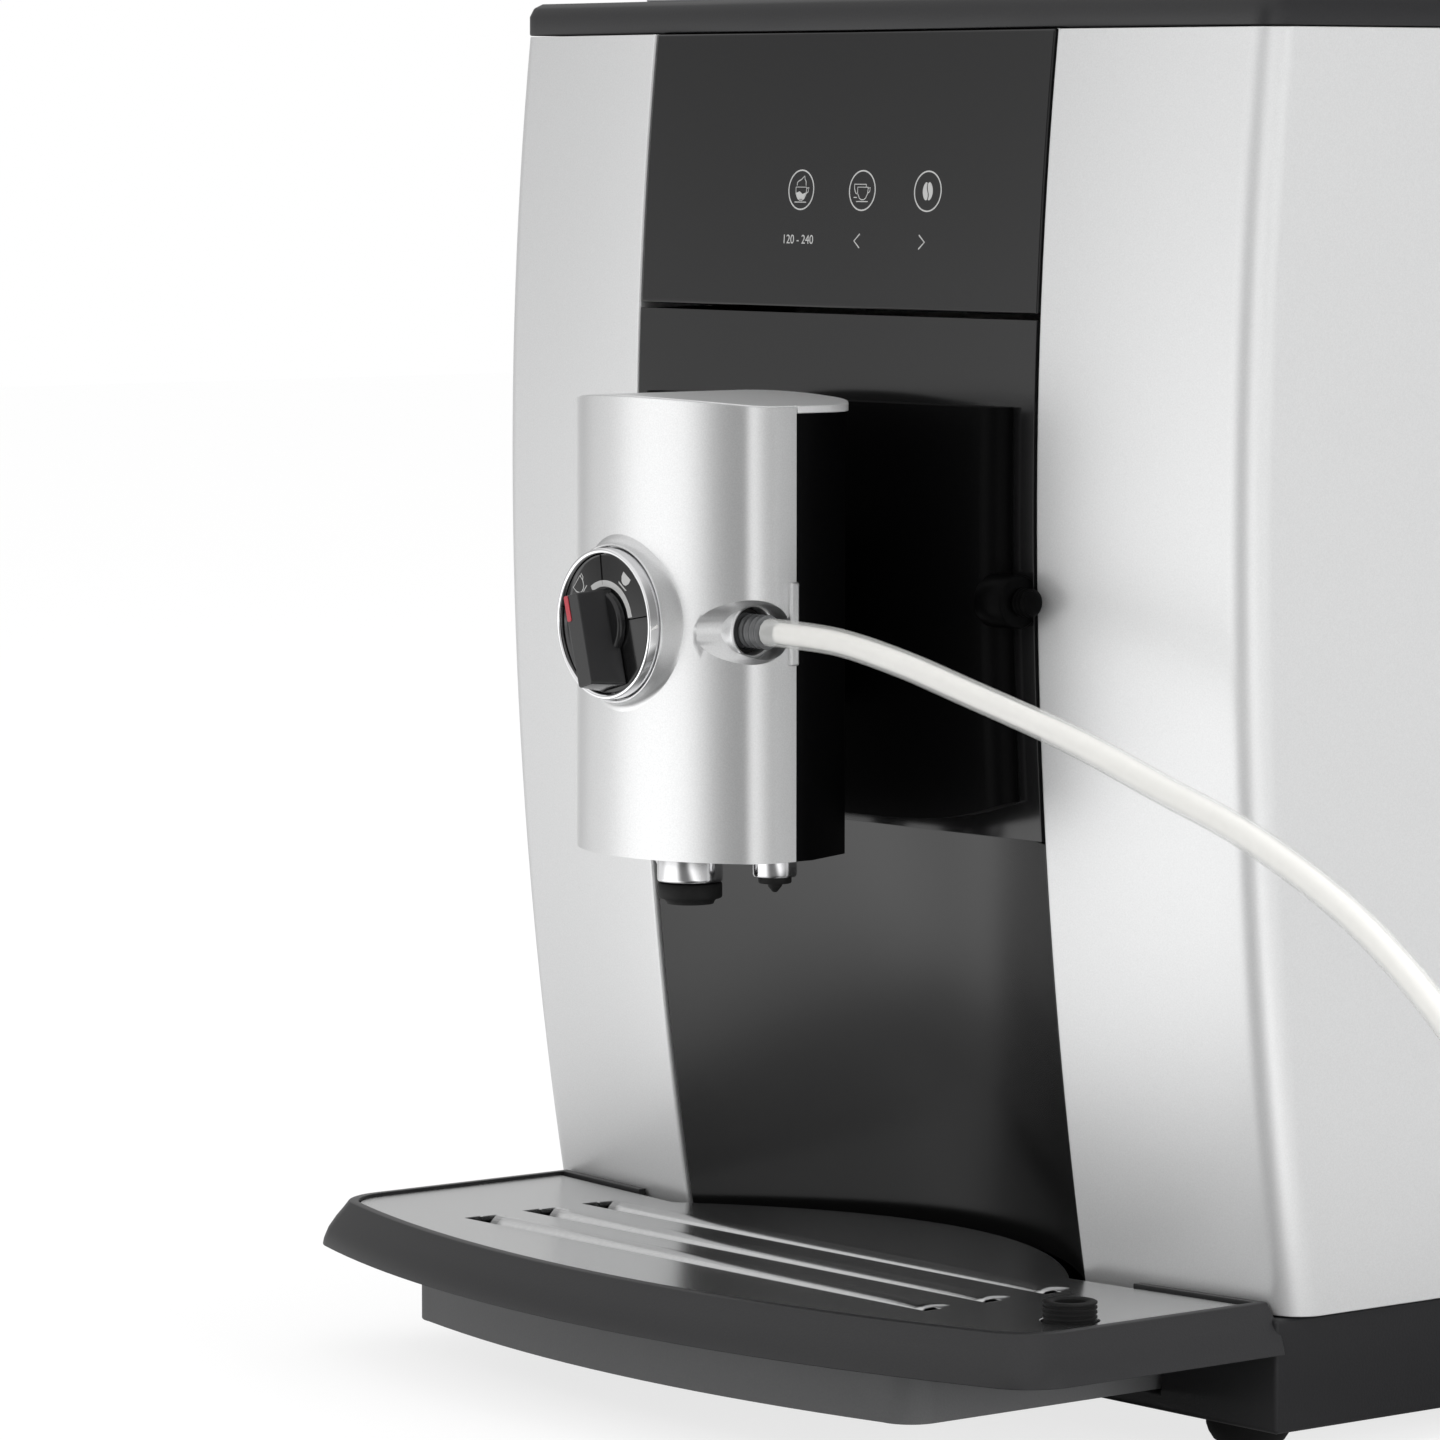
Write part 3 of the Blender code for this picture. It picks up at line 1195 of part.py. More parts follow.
def spout_half():
    """The right half of the spout's plan, from the apex round to the seam."""
    big = SPOUT_BOW_RADIUS
    small = SPOUT_CORNER
    centre = (0, SPOUT_APEX + big)
    corner_x = SPOUT_HALF_WIDTH - small
    lean = math.degrees(math.asin(corner_x / (big - small)))
    corner_y = centre[1] - math.cos(math.radians(lean)) * (big - small)
    points = arc(centre, big, -90, -90 + lean, 6)
    points += arc((corner_x, corner_y), small, -90 + lean, 0, 5)[1:]
    return points


def spout_shell():
    half = spout_half() + [(SPOUT_HALF_WIDTH, SPOUT_SEAM)]
    path = mirrored(half[1:]) + half
    wall = ribbon(path, SPOUT_WALL)
    rings = [[(x, y, z) for x, y in wall] for z in (SPOUT_BOTTOM, SPOUT_TOP)]
    shell = loft("spout_shell", rings, silver(), strip=True)
    centre = (0, 0, DIAL_HEIGHT)
    flare = [(0, BEZEL_FRONT), (BEZEL_LIP_RADIUS, BEZEL_FRONT), (BEZEL_RADIUS, SPOUT_APEX + DIAL_SEAT_DEPTH),
             (BEZEL_RADIUS, SPOUT_APEX + DIAL_SEAT_DEPTH * 2), (0, SPOUT_APEX + DIAL_SEAT_DEPTH * 2)]
    join(shell, turned("dial_flare", flare, centre, Y_AXIS, silver(), steps=FINE_STEPS))
    floor = RING_BACK + GAP
    wide = RING_RADIUS + GAP
    narrow = STEM_RADIUS + SHAFT_CLEARANCE
    seat = [(0, BEZEL_FRONT - OVERRUN), (wide, BEZEL_FRONT - OVERRUN), (wide, floor), (narrow, floor),
            (narrow, floor + STEM_LENGTH + OVERRUN), (0, floor + STEM_LENGTH + OVERRUN)]
    cut(shell, turned("dial_seat", seat, centre, Y_AXIS, silver(), steps=FINE_STEPS))
    cut(shell, milk_scoop())
    bore = rod(SOCKET_HOLE_RADIUS, SOCKET_INNER, SPOUT_HALF_WIDTH + OVERRUN)
    cut(shell, turned("socket_hole", bore, (0, SOCKET_Y, SOCKET_HEIGHT), X_AXIS, silver()))
    outer = SPOUT_HALF_WIDTH + CLIP_DEPTH
    join(shell, tool_slab("seam_clip", (SPOUT_HALF_WIDTH - SPOUT_WALL / 2, SPOUT_SEAM - CLIP_WIDTH, CLIP_BOTTOM),
                          (outer, SPOUT_SEAM + GAP, CLIP_TOP)))


def milk_scoop():
    """A round channel across the shell's right corner, which leaves a pointed hollow."""
    reach = SPOUT_HALF_WIDTH
    scoop = turned("milk_scoop", rod(SCOOP_RADIUS, -reach, reach), (0, 0, 0), X_AXIS, silver())
    along = Vector((math.cos(math.radians(SCOOP_DEGREES)), math.sin(math.radians(SCOOP_DEGREES)), 0))
    inside = Vector((-along.y, along.x, 0))
    tip = Vector((SCOOP_TIP_X, SCOOP_TIP_Y, SOCKET_HEIGHT))
    turn = Matrix.Rotation(math.radians(SCOOP_DEGREES), 4, "Z")
    start = tip - inside * SCOOP_RADIUS - along * SCOOP_LEAD
    scoop.data.transform(Matrix.Translation(start + along * reach) @ turn)
    return scoop


def spout_rear_body():
    """The back of the spout, open towards the shell, with the floor that lies inside the shell."""
    seam = SPOUT_SEAM + GAP * 2
    half = SPOUT_HALF_WIDTH - GAP
    side = [(half, seam), (half, seam + WALL * 2), (SPOUT_BACK_HALF_WIDTH, SPOUT_BACK)]
    wall = ribbon(side + mirrored(side), WALL)
    rings = [[(x, y, z) for x, y in wall] for z in (SPOUT_BOTTOM, SPOUT_TOP)]
    body = loft("spout_rear_body", rings, black_matt(), strip=True)
    front_half = spout_half() + [(SPOUT_HALF_WIDTH, SPOUT_SEAM)]
    inner = inward(mirrored(front_half[1:]) + front_half, SPOUT_WALL + GAP)
    behind = [(inner[-1][0], seam + WALL), (SPOUT_BACK_HALF_WIDTH - WALL / 2, SPOUT_BACK - WALL / 2)]
    plan = inner + behind + mirrored(behind)
    join(body, prism("spout_floor", plan, SPOUT_BOTTOM + GAP, SPOUT_BOTTOM + SPOUT_FLOOR, black_matt()))


def spout_lid():
    """A thin crowned cover over shell and rear body."""
    front_half = spout_half()
    corner = SPOUT_LID_CORNER
    back = arc((SPOUT_HALF_WIDTH - corner, SPOUT_LID_BACK - corner), corner, 0, 90, 5)
    half = front_half[1:] + back
    outline = [front_half[0]] + half + mirrored(half)
    rings = []
    for lift, inset in ((GAP, 0.0), (SPOUT_LID_THICKNESS, 0.0),
                        (SPOUT_LID_THICKNESS + SPOUT_LID_SWELL, SPOUT_CORNER)):
        plan = inward(outline, inset, closed=True)
        rings.append([(x, y, SPOUT_TOP + lift) for x, y in plan])
    loft("spout_lid", rings, silver())


def spout_carriage():
    front_y = SPOUT_BACK + GAP
    inner = front(0, BELLY_HEIGHT) + WALL + CARRIAGE_PLAY
    carriage = slab("spout_carriage", (-CARRIAGE_HALF_WIDTH, front_y, CARRIAGE_BOTTOM),
                    (CARRIAGE_HALF_WIDTH, inner + CARRIAGE_FLANGE_THICKNESS, CARRIAGE_TOP), black_matt())
    sag = front(CARRIAGE_FLANGE_HALF_WIDTH, CARRIAGE_BOTTOM - SPOUT_LOWER) - FRONT
    flange = inner + sag
    join(carriage, tool_slab("carriage_flange", (-CARRIAGE_FLANGE_HALF_WIDTH, flange, CARRIAGE_BOTTOM + GAP),
                             (CARRIAGE_FLANGE_HALF_WIDTH, flange + CARRIAGE_FLANGE_THICKNESS, CARRIAGE_TOP - GAP)))


def milk_dial():
    centre = (0, 0, DIAL_HEIGHT)
    chamfer = (RING_RADIUS - RING_BORE) / 3
    ring = [(RING_BORE, RING_FRONT + chamfer), (RING_BORE + chamfer, RING_FRONT),
            (RING_RADIUS - chamfer, RING_FRONT), (RING_RADIUS, RING_FRONT + chamfer), (RING_RADIUS, RING_BACK),
            (RING_BORE, RING_BACK)]
    turned("dial_ring", ring, centre, Y_AXIS, chrome(), steps=FINE_STEPS)
    hole = STEM_RADIUS + SHAFT_CLEARANCE
    face = tube(RING_BORE - GAP, hole, FACE_FRONT, RING_BACK)
    turned("dial_face", face, centre, Y_AXIS, black_gloss(), steps=FINE_STEPS)
    dial_knob(centre)


def dial_knob(centre):
    """The pointer: a round base, a ridge that tapers to its front, and a stem into the spout."""
    back = FACE_FRONT - GAP
    base_front = back - KNOB_BASE_THICKNESS
    origin = (0, back, DIAL_HEIGHT)
    stem_end = RING_BACK + STEM_LENGTH
    profile = [(0, base_front), (KNOB_BASE_RADIUS, base_front), (KNOB_BASE_RADIUS, back), (STEM_RADIUS, back),
               (STEM_RADIUS, stem_end), (0, stem_end)]
    knob = turned("dial_knob", profile, centre, Y_AXIS, black_gloss(), origin)
    turn = Matrix.Rotation(math.radians(KNOB_TURN_DEGREES), 3, "Y")
    rings = []
    for y, half, reach in ((back - GAP, RIDGE_FOOT_WIDTH / 2, GAP), (RIDGE_FRONT, RIDGE_WIDTH / 2, 0.0)):
        section = [(-half, -RIDGE_TAIL_REACH - reach), (half, -RIDGE_TAIL_REACH - reach),
                   (half, RIDGE_TOP_REACH + reach), (-half, RIDGE_TOP_REACH + reach)]
        placed = [turn @ Vector((x, 0, z)) for x, z in section]
        rings.append([(p.x, y, p.z + DIAL_HEIGHT) for p in placed])
    join(knob, loft("knob_ridge", rings, black_gloss()))


def milk_connection():
    centre = (0, SOCKET_Y, SOCKET_HEIGHT)
    socket = tube(SOCKET_HOLE_RADIUS - GAP, SOCKET_BORE, SOCKET_INNER, SOCKET_FACE)
    turned("milk_socket", socket, centre, X_AXIS, rubber())
    pitch = (ADAPTER_END - SOCKET_FACE) / ADAPTER_RIB_COUNT
    profile = [(ADAPTER_BORE, ADAPTER_INNER), (ADAPTER_RADIUS + ADAPTER_RIB, ADAPTER_INNER),
               (ADAPTER_RADIUS + ADAPTER_RIB, SOCKET_FACE)]
    for i in range(ADAPTER_RIB_COUNT):
        along = SOCKET_FACE + pitch * (i + 0.25)
        profile += [(ADAPTER_RADIUS, along), (ADAPTER_RADIUS, along + pitch / 4),
                    (ADAPTER_RADIUS + ADAPTER_RIB, along + pitch / 2)]
    profile += [(ADAPTER_RADIUS, ADAPTER_END), (ADAPTER_BORE, ADAPTER_END)]
    turned("hose_adapter", profile, centre, X_AXIS, grey_plastic(), steps=16)


def outlets():
    top = SPOUT_BOTTOM
    centre = (0, NOZZLE_Y, 0)
    turned("main_nozzle", tube(NOZZLE_RADIUS, NOZZLE_BORE, NOZZLE_BOTTOM, top), centre, Z_AXIS, chrome())
    ring_top = NOZZLE_BOTTOM - GAP
    ring = [(NOZZLE_BORE, ring_top), (NOZZLE_RING_RADIUS, ring_top), (NOZZLE_RING_RADIUS, NOZZLE_RING_BOTTOM),
            (NOZZLE_LIP_RADIUS, NOZZLE_LIP_BOTTOM), (NOZZLE_BORE, NOZZLE_LIP_BOTTOM)]
    turned("nozzle_ring", ring, centre, Z_AXIS, rubber())
    frother = SPOUT_BOTTOM + SPOUT_FLOOR + GAP
    turned("frother_body", rod(FROTHER_RADIUS, frother, frother + FROTHER_HEIGHT), (0, FROTHER_Y, 0), Z_AXIS,
           dark_grey(), steps=16)
    profile = [(0, top), (OUTLET_RADIUS, top), (OUTLET_RADIUS, OUTLET_BOTTOM),
               (OUTLET_DISC_RADIUS, OUTLET_BOTTOM), (OUTLET_DISC_RADIUS, OUTLET_DISC_BOTTOM),
               (OUTLET_TIP_RADIUS, OUTLET_DISC_BOTTOM), (0, OUTLET_TIP_BOTTOM)]
    for name, side in (("coffee_outlet_left", -1), ("coffee_outlet_right", 1)):
        turned(name, profile, (side * OUTLET_X, OUTLET_Y, 0), Z_AXIS, chrome(), steps=16)


# Milk hose

HOSE_ROUTE = [
    (0.0384, -0.1900, 0.2055),
    (0.0440, -0.1900, 0.2055),
    (0.0662, -0.1900, 0.2045),
    (0.0896, -0.1900, 0.2007),
    (0.1129, -0.1900, 0.1955),
    (0.1517, -0.1900, 0.1864),
    (0.1835, -0.1900, 0.1770),
    (0.2162, -0.1900, 0.1670),
    (0.2520, -0.1895, 0.1500),
    (0.2830, -0.1885, 0.1260),
    (0.3080, -0.1865, 0.0960),
    (0.3270, -0.1835, 0.0620),
    (0.3440, -0.1780, 0.0300),
    (0.3680, -0.1660, 0.0085),
    (0.3960, -0.1440, 0.0042),
    (0.4100, -0.1100, 0.0042),
    (0.4020, -0.0740, 0.0042),
    (0.3860, -0.0420, 0.0042),
    (0.3800, -0.0100, 0.0042),
    (0.3800, 0.0100, 0.0042),
]


def smooth_route(points, count):
    """Evenly spaced points on a smooth curve through the route."""
    places = [Vector(p) for p in points]
    ends = [places[0] * 2 - places[1]] + places + [places[-1] * 2 - places[-2]]
    fine = []
    for a, b, c, d in zip(ends, ends[1:], ends[2:], ends[3:]):
        for i in range(20):
            t = i / 20
            fine.append(((b * 2) + (c - a) * t + (a * 2 - b * 5 + c * 4 - d) * t * t
                         + (b * 3 - a - c * 3 + d) * t * t * t) / 2)
    fine.append(places[-1])
    lengths = [0.0]
    for a, b in zip(fine, fine[1:]):
        lengths.append(lengths[-1] + (b - a).length)
    even = []
    j = 0
    for i in range(count):
        target = lengths[-1] * i / (count - 1)
        while j < len(fine) - 2 and lengths[j + 1] < target:
            j += 1
        span = lengths[j + 1] - lengths[j]
        even.append(fine[j].lerp(fine[j + 1], (target - lengths[j]) / span))
    return even


def milk_hose():
    path = smooth_route(HOSE_ROUTE, HOSE_STEPS)
    curve = bpy.data.curves.new("milk_hose", "CURVE")
    curve.dimensions = "3D"
    curve.bevel_depth = HOSE_RADIUS
    curve.bevel_resolution = HOSE_SIDES
    curve.use_fill_caps = True
    spline = curve.splines.new("POLY")
    spline.points.add(len(path) - 1)
    for point, place in zip(spline.points, path):
        point.co = (*place, 1.0)
    curve.materials.append(milky())
    hose = bpy.data.objects.new("milk_hose", curve)
    bpy.context.scene.collection.objects.link(hose)


def hose_end_fitting():
    """The short steel end of the hose, lying in line with its last stretch."""
    end = HOSE_ROUTE[-1]
    start = end[1] + GAP
    collar = start + FITTING_LENGTH / 4
    profile = [(0, start), (FITTING_HEAD_RADIUS, start), (FITTING_RADIUS, collar - GAP), (FITTING_RADIUS, collar),
               (FITTING_HEAD_RADIUS * 0.75, collar), (FITTING_HEAD_RADIUS * 0.75, start + FITTING_LENGTH),
               (0, start + FITTING_LENGTH)]
    turned("hose_end_fitting", profile, (end[0], 0, FITTING_RADIUS), Y_AXIS, steel(), steps=16)


def build():
    clear_scene()
    base_frame()
    feet()
    chassis_deck()
    bulkhead()
    side_shells()
    service_door()
    rear_cover()
    top_cover()
    cup_plate()
    front_fascia()
    touch_panel()
    display_board()
    spout_guide()
    hose_parking_spigot()
    splash_panel()
    drip_tray()
    drip_plate()
    drip_float()
    water_tank()
    tank_lid()
    bean_hopper()
    bean_lid()
    grinder()
    grind_knob()
    ground_chute()
    brew_frame()
    brew_unit()
    grounds_container()
    thermoblock()
    water_pump()
    control_board()
    mains_inlet()
    power_rocker()
    spout_shell()
    spout_rear_body()
    spout_lid()
    spout_carriage()
    milk_dial()
    milk_connection()
    outlets()
    milk_hose()
    hose_end_fitting()


build()
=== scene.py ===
# Automatic coffee machine: a bean-to-cup machine with silver cheeks, a black front and a spout that slides up and down.
# Metres, +Z up, the front faces -Y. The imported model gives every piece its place; this file gives it its looks.

import json
import math

import bmesh
import bpy
from mathutils import Matrix, Vector

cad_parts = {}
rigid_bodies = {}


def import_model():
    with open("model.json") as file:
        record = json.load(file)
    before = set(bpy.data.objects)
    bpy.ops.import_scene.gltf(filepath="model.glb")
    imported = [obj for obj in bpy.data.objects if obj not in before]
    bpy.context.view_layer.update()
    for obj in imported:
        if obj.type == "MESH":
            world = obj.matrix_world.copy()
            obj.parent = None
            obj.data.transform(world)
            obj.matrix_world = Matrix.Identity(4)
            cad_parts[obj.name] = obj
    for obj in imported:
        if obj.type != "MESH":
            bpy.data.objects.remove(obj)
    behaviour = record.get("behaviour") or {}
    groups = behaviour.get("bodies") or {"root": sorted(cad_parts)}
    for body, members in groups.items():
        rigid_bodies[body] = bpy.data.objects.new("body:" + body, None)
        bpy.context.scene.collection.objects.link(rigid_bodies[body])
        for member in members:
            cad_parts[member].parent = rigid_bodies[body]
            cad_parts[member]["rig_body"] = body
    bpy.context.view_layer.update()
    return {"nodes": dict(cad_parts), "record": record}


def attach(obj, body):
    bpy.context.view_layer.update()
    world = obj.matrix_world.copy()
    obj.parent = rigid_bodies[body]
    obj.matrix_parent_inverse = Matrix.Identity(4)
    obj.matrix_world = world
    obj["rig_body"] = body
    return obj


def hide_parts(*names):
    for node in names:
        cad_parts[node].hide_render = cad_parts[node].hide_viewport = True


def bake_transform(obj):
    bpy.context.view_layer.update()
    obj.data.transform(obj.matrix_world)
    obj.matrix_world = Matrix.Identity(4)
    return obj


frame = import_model()


# Camera
# A long lens, a little above the spout and well round to the right, so that the right cheek, the spout's side
# and the hose show together.

def put_in(name, data):
    """A new object in the scene, at the origin."""
    made = bpy.data.objects.new(name, data)
    bpy.context.scene.collection.objects.link(made)
    return made


camera = put_in("camera", bpy.data.cameras.new("camera"))
camera.data.sensor_width = 36.0
camera.data.lens = 175.0
camera.location = (1.39714, -1.30647, 0.33417)
camera.rotation_euler = (math.radians(90 - 4.9), 0, math.radians(51))
bpy.context.scene.camera = camera
bpy.context.scene.view_settings.view_transform = "Standard"


# Milk hose
# A clear silicone tube full of milk, plugged into the spout's side. It sags to the table and lies there in a
# loose bend, with a short steel end piece pushed into its far end.

class Value:
    """A number or colour that varies over a surface. Sums and products on it add Math nodes."""

    def __init__(self, tree, socket):
        self.tree = tree
        self.socket = socket

    def maths(self, operation, first, second):
        return node(self.tree, "ShaderNodeMath", {"operation": operation}, {0: first, 1: second})

    def __add__(self, other):
        return self.maths("ADD", self, other)

    def __sub__(self, other):
        return self.maths("SUBTRACT", self, other)

    def __rsub__(self, other):
        return self.maths("SUBTRACT", other, self)

    def __mul__(self, other):
        return self.maths("MULTIPLY", self, other)

    __radd__ = __add__
    __rmul__ = __mul__


def node(tree, kind, settings=None, inputs=None, output=0):
    """Adds a node, sets it, feeds its sockets with numbers or Values, and gives back one of its outputs."""
    made = tree.nodes.new(kind)
    for name, value in (settings or {}).items():
        setattr(made, name, value)
    for name, value in (inputs or {}).items():
        if isinstance(value, Value):
            tree.links.new(value.socket, made.inputs[name])
        else:
            made.inputs[name].default_value = value
    return Value(tree, made.outputs[output])


def finish(name, colour, roughness, metallic=0.0, grain=900.0, tint=0.04, relief=0.0, wear=0.06,
           stretch=(1.0, 1.0, 1.0), **constants):
    """A finish with fine grain in its colour and relief, and a sheen that changes slowly over the surface."""
    material = bpy.data.materials.new(name)
    material.use_nodes = True
    tree = material.node_tree
    shader = tree.nodes["Principled BSDF"]
    spot = node(tree, "ShaderNodeTexCoord", output="Object")
    if stretch != (1.0, 1.0, 1.0):
        spot = node(tree, "ShaderNodeMapping", {}, {"Vector": spot, "Scale": stretch})
    fine = node(tree, "ShaderNodeTexNoise", {}, {"Vector": spot, "Scale": grain, "Detail": 2.0})
    slow = node(tree, "ShaderNodeTexNoise", {}, {"Vector": spot, "Scale": 16.0, "Detail": 3.0})
    dark = (*(c * (1 - tint) for c in colour), 1.0)
    light = (*(c * (1 + tint) for c in colour), 1.0)
    shade = node(tree, "ShaderNodeMix", {"data_type": "RGBA"}, {0: fine, 6: dark, 7: light}, 2)
    sheen = roughness + (slow - 0.5) * wear
    tree.links.new(shade.socket, shader.inputs["Base Color"])
    tree.links.new(sheen.socket, shader.inputs["Roughness"])
    shader.inputs["Metallic"].default_value = metallic
    for socket, value in constants.items():
        shader.inputs[socket.replace("_", " ")].default_value = value
    if relief:
        bump = node(tree, "ShaderNodeBump", {}, {"Distance": relief, "Strength": 0.6, "Height": fine})
        tree.links.new(bump.socket, shader.inputs["Normal"])
    return material


hose_route = [
    (0.0384, -0.19, 0.2055), (0.044, -0.19, 0.2055), (0.0662, -0.19, 0.2045), (0.0896, -0.19, 0.2007),
    (0.1129, -0.19, 0.1955), (0.1517, -0.19, 0.1864), (0.1835, -0.19, 0.177), (0.2162, -0.19, 0.167),
    (0.252, -0.1895, 0.15), (0.283, -0.1885, 0.126), (0.308, -0.1865, 0.096), (0.327, -0.1835, 0.062),
    (0.344, -0.178, 0.03), (0.368, -0.166, 0.0085), (0.396, -0.144, 0.0042), (0.4097, -0.11, 0.0042),
    (0.402, -0.074, 0.0042), (0.386, -0.042, 0.0042), (0.38, -0.01, 0.0042), (0.38, 0.01, 0.0042),
]


def smooth_route(points, count):
    """Evenly spaced points on a smooth curve through the route, and the curve's length."""
    places = [Vector(p) for p in points]
    ends = [places[0] * 2 - places[1]] + places + [places[-1] * 2 - places[-2]]
    fine, steps = [], 20
    for a, b, c, d in zip(ends, ends[1:], ends[2:], ends[3:]):
        for t in [i / steps for i in range(steps)]:
            fine.append(((b * 2) + (c - a) * t + (a * 2 - b * 5 + c * 4 - d) * t * t
                         + (b * 3 - a - c * 3 + d) * t * t * t) / 2)
    fine.append(places[-1])
    lengths = [0.0]
    for a, b in zip(fine, fine[1:]):
        lengths.append(lengths[-1] + (b - a).length)
    even, j = [], 0
    for i in range(count):
        target = lengths[-1] * i / (count - 1)
        while j < len(fine) - 2 and lengths[j + 1] < target:
            j += 1
        even.append(fine[j].lerp(fine[j + 1], (target - lengths[j]) / (lengths[j + 1] - lengths[j])))
    return even, lengths[-1]


def tube_along(name, points, radius, material):
    """A round tube along a line of points."""
    curve = bpy.data.curves.new(name, "CURVE")
    curve.dimensions = "3D"
    curve.bevel_depth = radius
    curve.bevel_resolution = 4
    curve.use_fill_caps = True
    spline = curve.splines.new("POLY")
    spline.points.add(len(points) - 1)
    for point, at in zip(spline.points, points):
        point.co = (*at, 1.0)
    spline.use_smooth = True
    drawn = bpy.data.objects.new(name + "_line", curve)
    mesh = bpy.data.meshes.new_from_object(drawn)
    bpy.data.objects.remove(drawn)
    mesh.shade_smooth()
    mesh.materials.clear()
    mesh.materials.append(material)
    return put_in(name, mesh)


clear_wall = finish("clear silicone wall", (0.76, 0.765, 0.75), 0.12, grain=260.0, wear=0.08, Alpha=0.4,
                    Coat_Weight=0.6, Coat_Roughness=0.08)
milk = finish("milk in the hose", (0.92, 0.905, 0.87), 0.45, grain=120.0, tint=0.02)
hose_line, hose_length = smooth_route(hose_route, 150)
wall_radius, milk_radius = 0.00362, 0.00262
hose = tube_along("milk_hose_wall", hose_line, wall_radius, clear_wall)
milk_core = tube_along("milk_hose_milk", hose_line[1:-1], milk_radius, milk)
for tube in (hose, milk_core):
    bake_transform(tube)
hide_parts("milk_hose")


slots = {row["node"]: row["material_slot"] for row in frame["record"]["subparts"]}
merge_gap = 0.000001


def round_edges(piece, width, segments, angle):
    """Rounds the edges that turn by more than an angle."""
    rounded = piece.modifiers.new("edges", "BEVEL")
    rounded.width = width
    rounded.segments = segments
    rounded.limit_method = "ANGLE"
    rounded.angle_limit = math.radians(angle)
    rounded.harden_normals = True


def mesh_of(bm, name):
    """Turns a bmesh into a mesh, and frees it."""
    mesh = bpy.data.meshes.new(name)
    bm.to_mesh(mesh)
    bm.free()
    return mesh


def place(name, bm, material, body, *nodes, slot=None, sharp=35.0, edge=0.0, segments=2, closed=True):
    """Makes a bmesh a finished piece that rides on a body and stands for the nodes named."""
    bmesh.ops.remove_doubles(bm, verts=bm.verts, dist=merge_gap)
    if closed:
        bmesh.ops.recalc_face_normals(bm, faces=bm.faces)
    mesh = mesh_of(bm, name)
    mesh.shade_smooth()
    mesh.materials.append(material)
    piece = put_in(name, mesh)
    if edge:
        round_edges(piece, edge, segments, sharp)
    else:
        mesh.set_sharp_from_angle(angle=math.radians(sharp))
    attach(piece, body)
    if nodes:
        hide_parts(*nodes)
    return piece


def turned(profile, centre, axis="Z", steps=64):
    """A closed profile of (radius, place along the axis), turned about an axis through a point."""
    bm = bmesh.new()
    points = [bm.verts.new((radius, 0, along)) for radius, along in profile]
    edges = [bm.edges.new(pair) for pair in zip(points, points[1:])]
    if profile[0][0] > 0:
        edges.append(bm.edges.new((points[-1], points[0])))
    bmesh.ops.spin(bm, geom=points + edges, cent=(0, 0, 0), axis=(0, 0, 1), angle=math.tau, steps=steps,
                   use_merge=True)
    bmesh.ops.remove_doubles(bm, verts=bm.verts, dist=merge_gap)
    if axis == "X":
        bmesh.ops.rotate(bm, verts=bm.verts, matrix=Matrix.Rotation(math.pi / 2, 3, "Y"))
    if axis == "Y":
        bmesh.ops.rotate(bm, verts=bm.verts, matrix=Matrix.Rotation(-math.pi / 2, 3, "X"))
    bmesh.ops.translate(bm, verts=bm.verts, vec=centre)
    return bm


burr_steel = finish("ground steel", (0.58, 0.58, 0.59), 0.25, 1.0, grain=700, tint=0.1, relief=0.00004)
end_profile = [(0, 0.0103), (0.0034, 0.0103), (0.004, 0.0108), (0.004, 0.015), (0.0042, 0.0152),
               (0.0042, 0.033), (0.0036, 0.0343), (0.0022, 0.0343), (0.0022, 0.033), (0, 0.033)]
bm = turned(end_profile, (0.38, 0, 0.0042), "Y", 48)
fitting = place("hose_end_fitting_piece", bm, burr_steel, "machine", "hose_end_fitting", edge=0.0002)


# Studio
# A pale floor and an even white room with three soft lamps. In the gloss and the silver the room is white with
# darker parts ahead, to the right, to the left and behind, as in a real studio.

world = bpy.data.worlds.new("studio")
world.use_nodes = True
bpy.context.scene.world = world
room = world.node_tree
outward = node(room, "ShaderNodeTexCoord", output="Generated")


def smooth_step(tree, value, start, end, low=0.0, high=1.0):
    """Goes smoothly from low to high while a value goes from start to end."""
    return node(tree, "ShaderNodeMapRange", {"interpolation_type": "SMOOTHSTEP"},
                {"Value": value, "From Min": start, "From Max": end, "To Min": low, "To Max": high})


def room_side(tree, way, degrees, edge, core, darkness):
    """How much darker the room is on one side: most within the core's angle, nothing past the edge's."""
    aim = (math.cos(math.radians(degrees)), math.sin(math.radians(degrees)), 0.0)
    along = node(tree, "ShaderNodeVectorMath", {"operation": "DOT_PRODUCT"}, {0: way, 1: aim}, "Value")
    return smooth_step(tree, along, math.cos(math.radians(edge)), math.cos(math.radians(core))) * darkness


def ray_kinds(tree):
    """Whether a ray is the camera's own, comes off a mirror, or comes through something clear."""
    return [node(tree, "ShaderNodeLightPath", output=kind)
            for kind in ("Is Camera Ray", "Is Glossy Ray", "Is Transmission Ray")]


room_white = 1.32
dark_sides = ((-63, 27, 4, 1.15), (35, 80, 28, 0.9), (150, 44, 14, 0.4), (-165, 41, 15, 0.6))


def mirrored_room(tree, way):
    """How bright the room looks in a mirror."""
    return room_white - sum(room_side(tree, way, *side) for side in dark_sides)


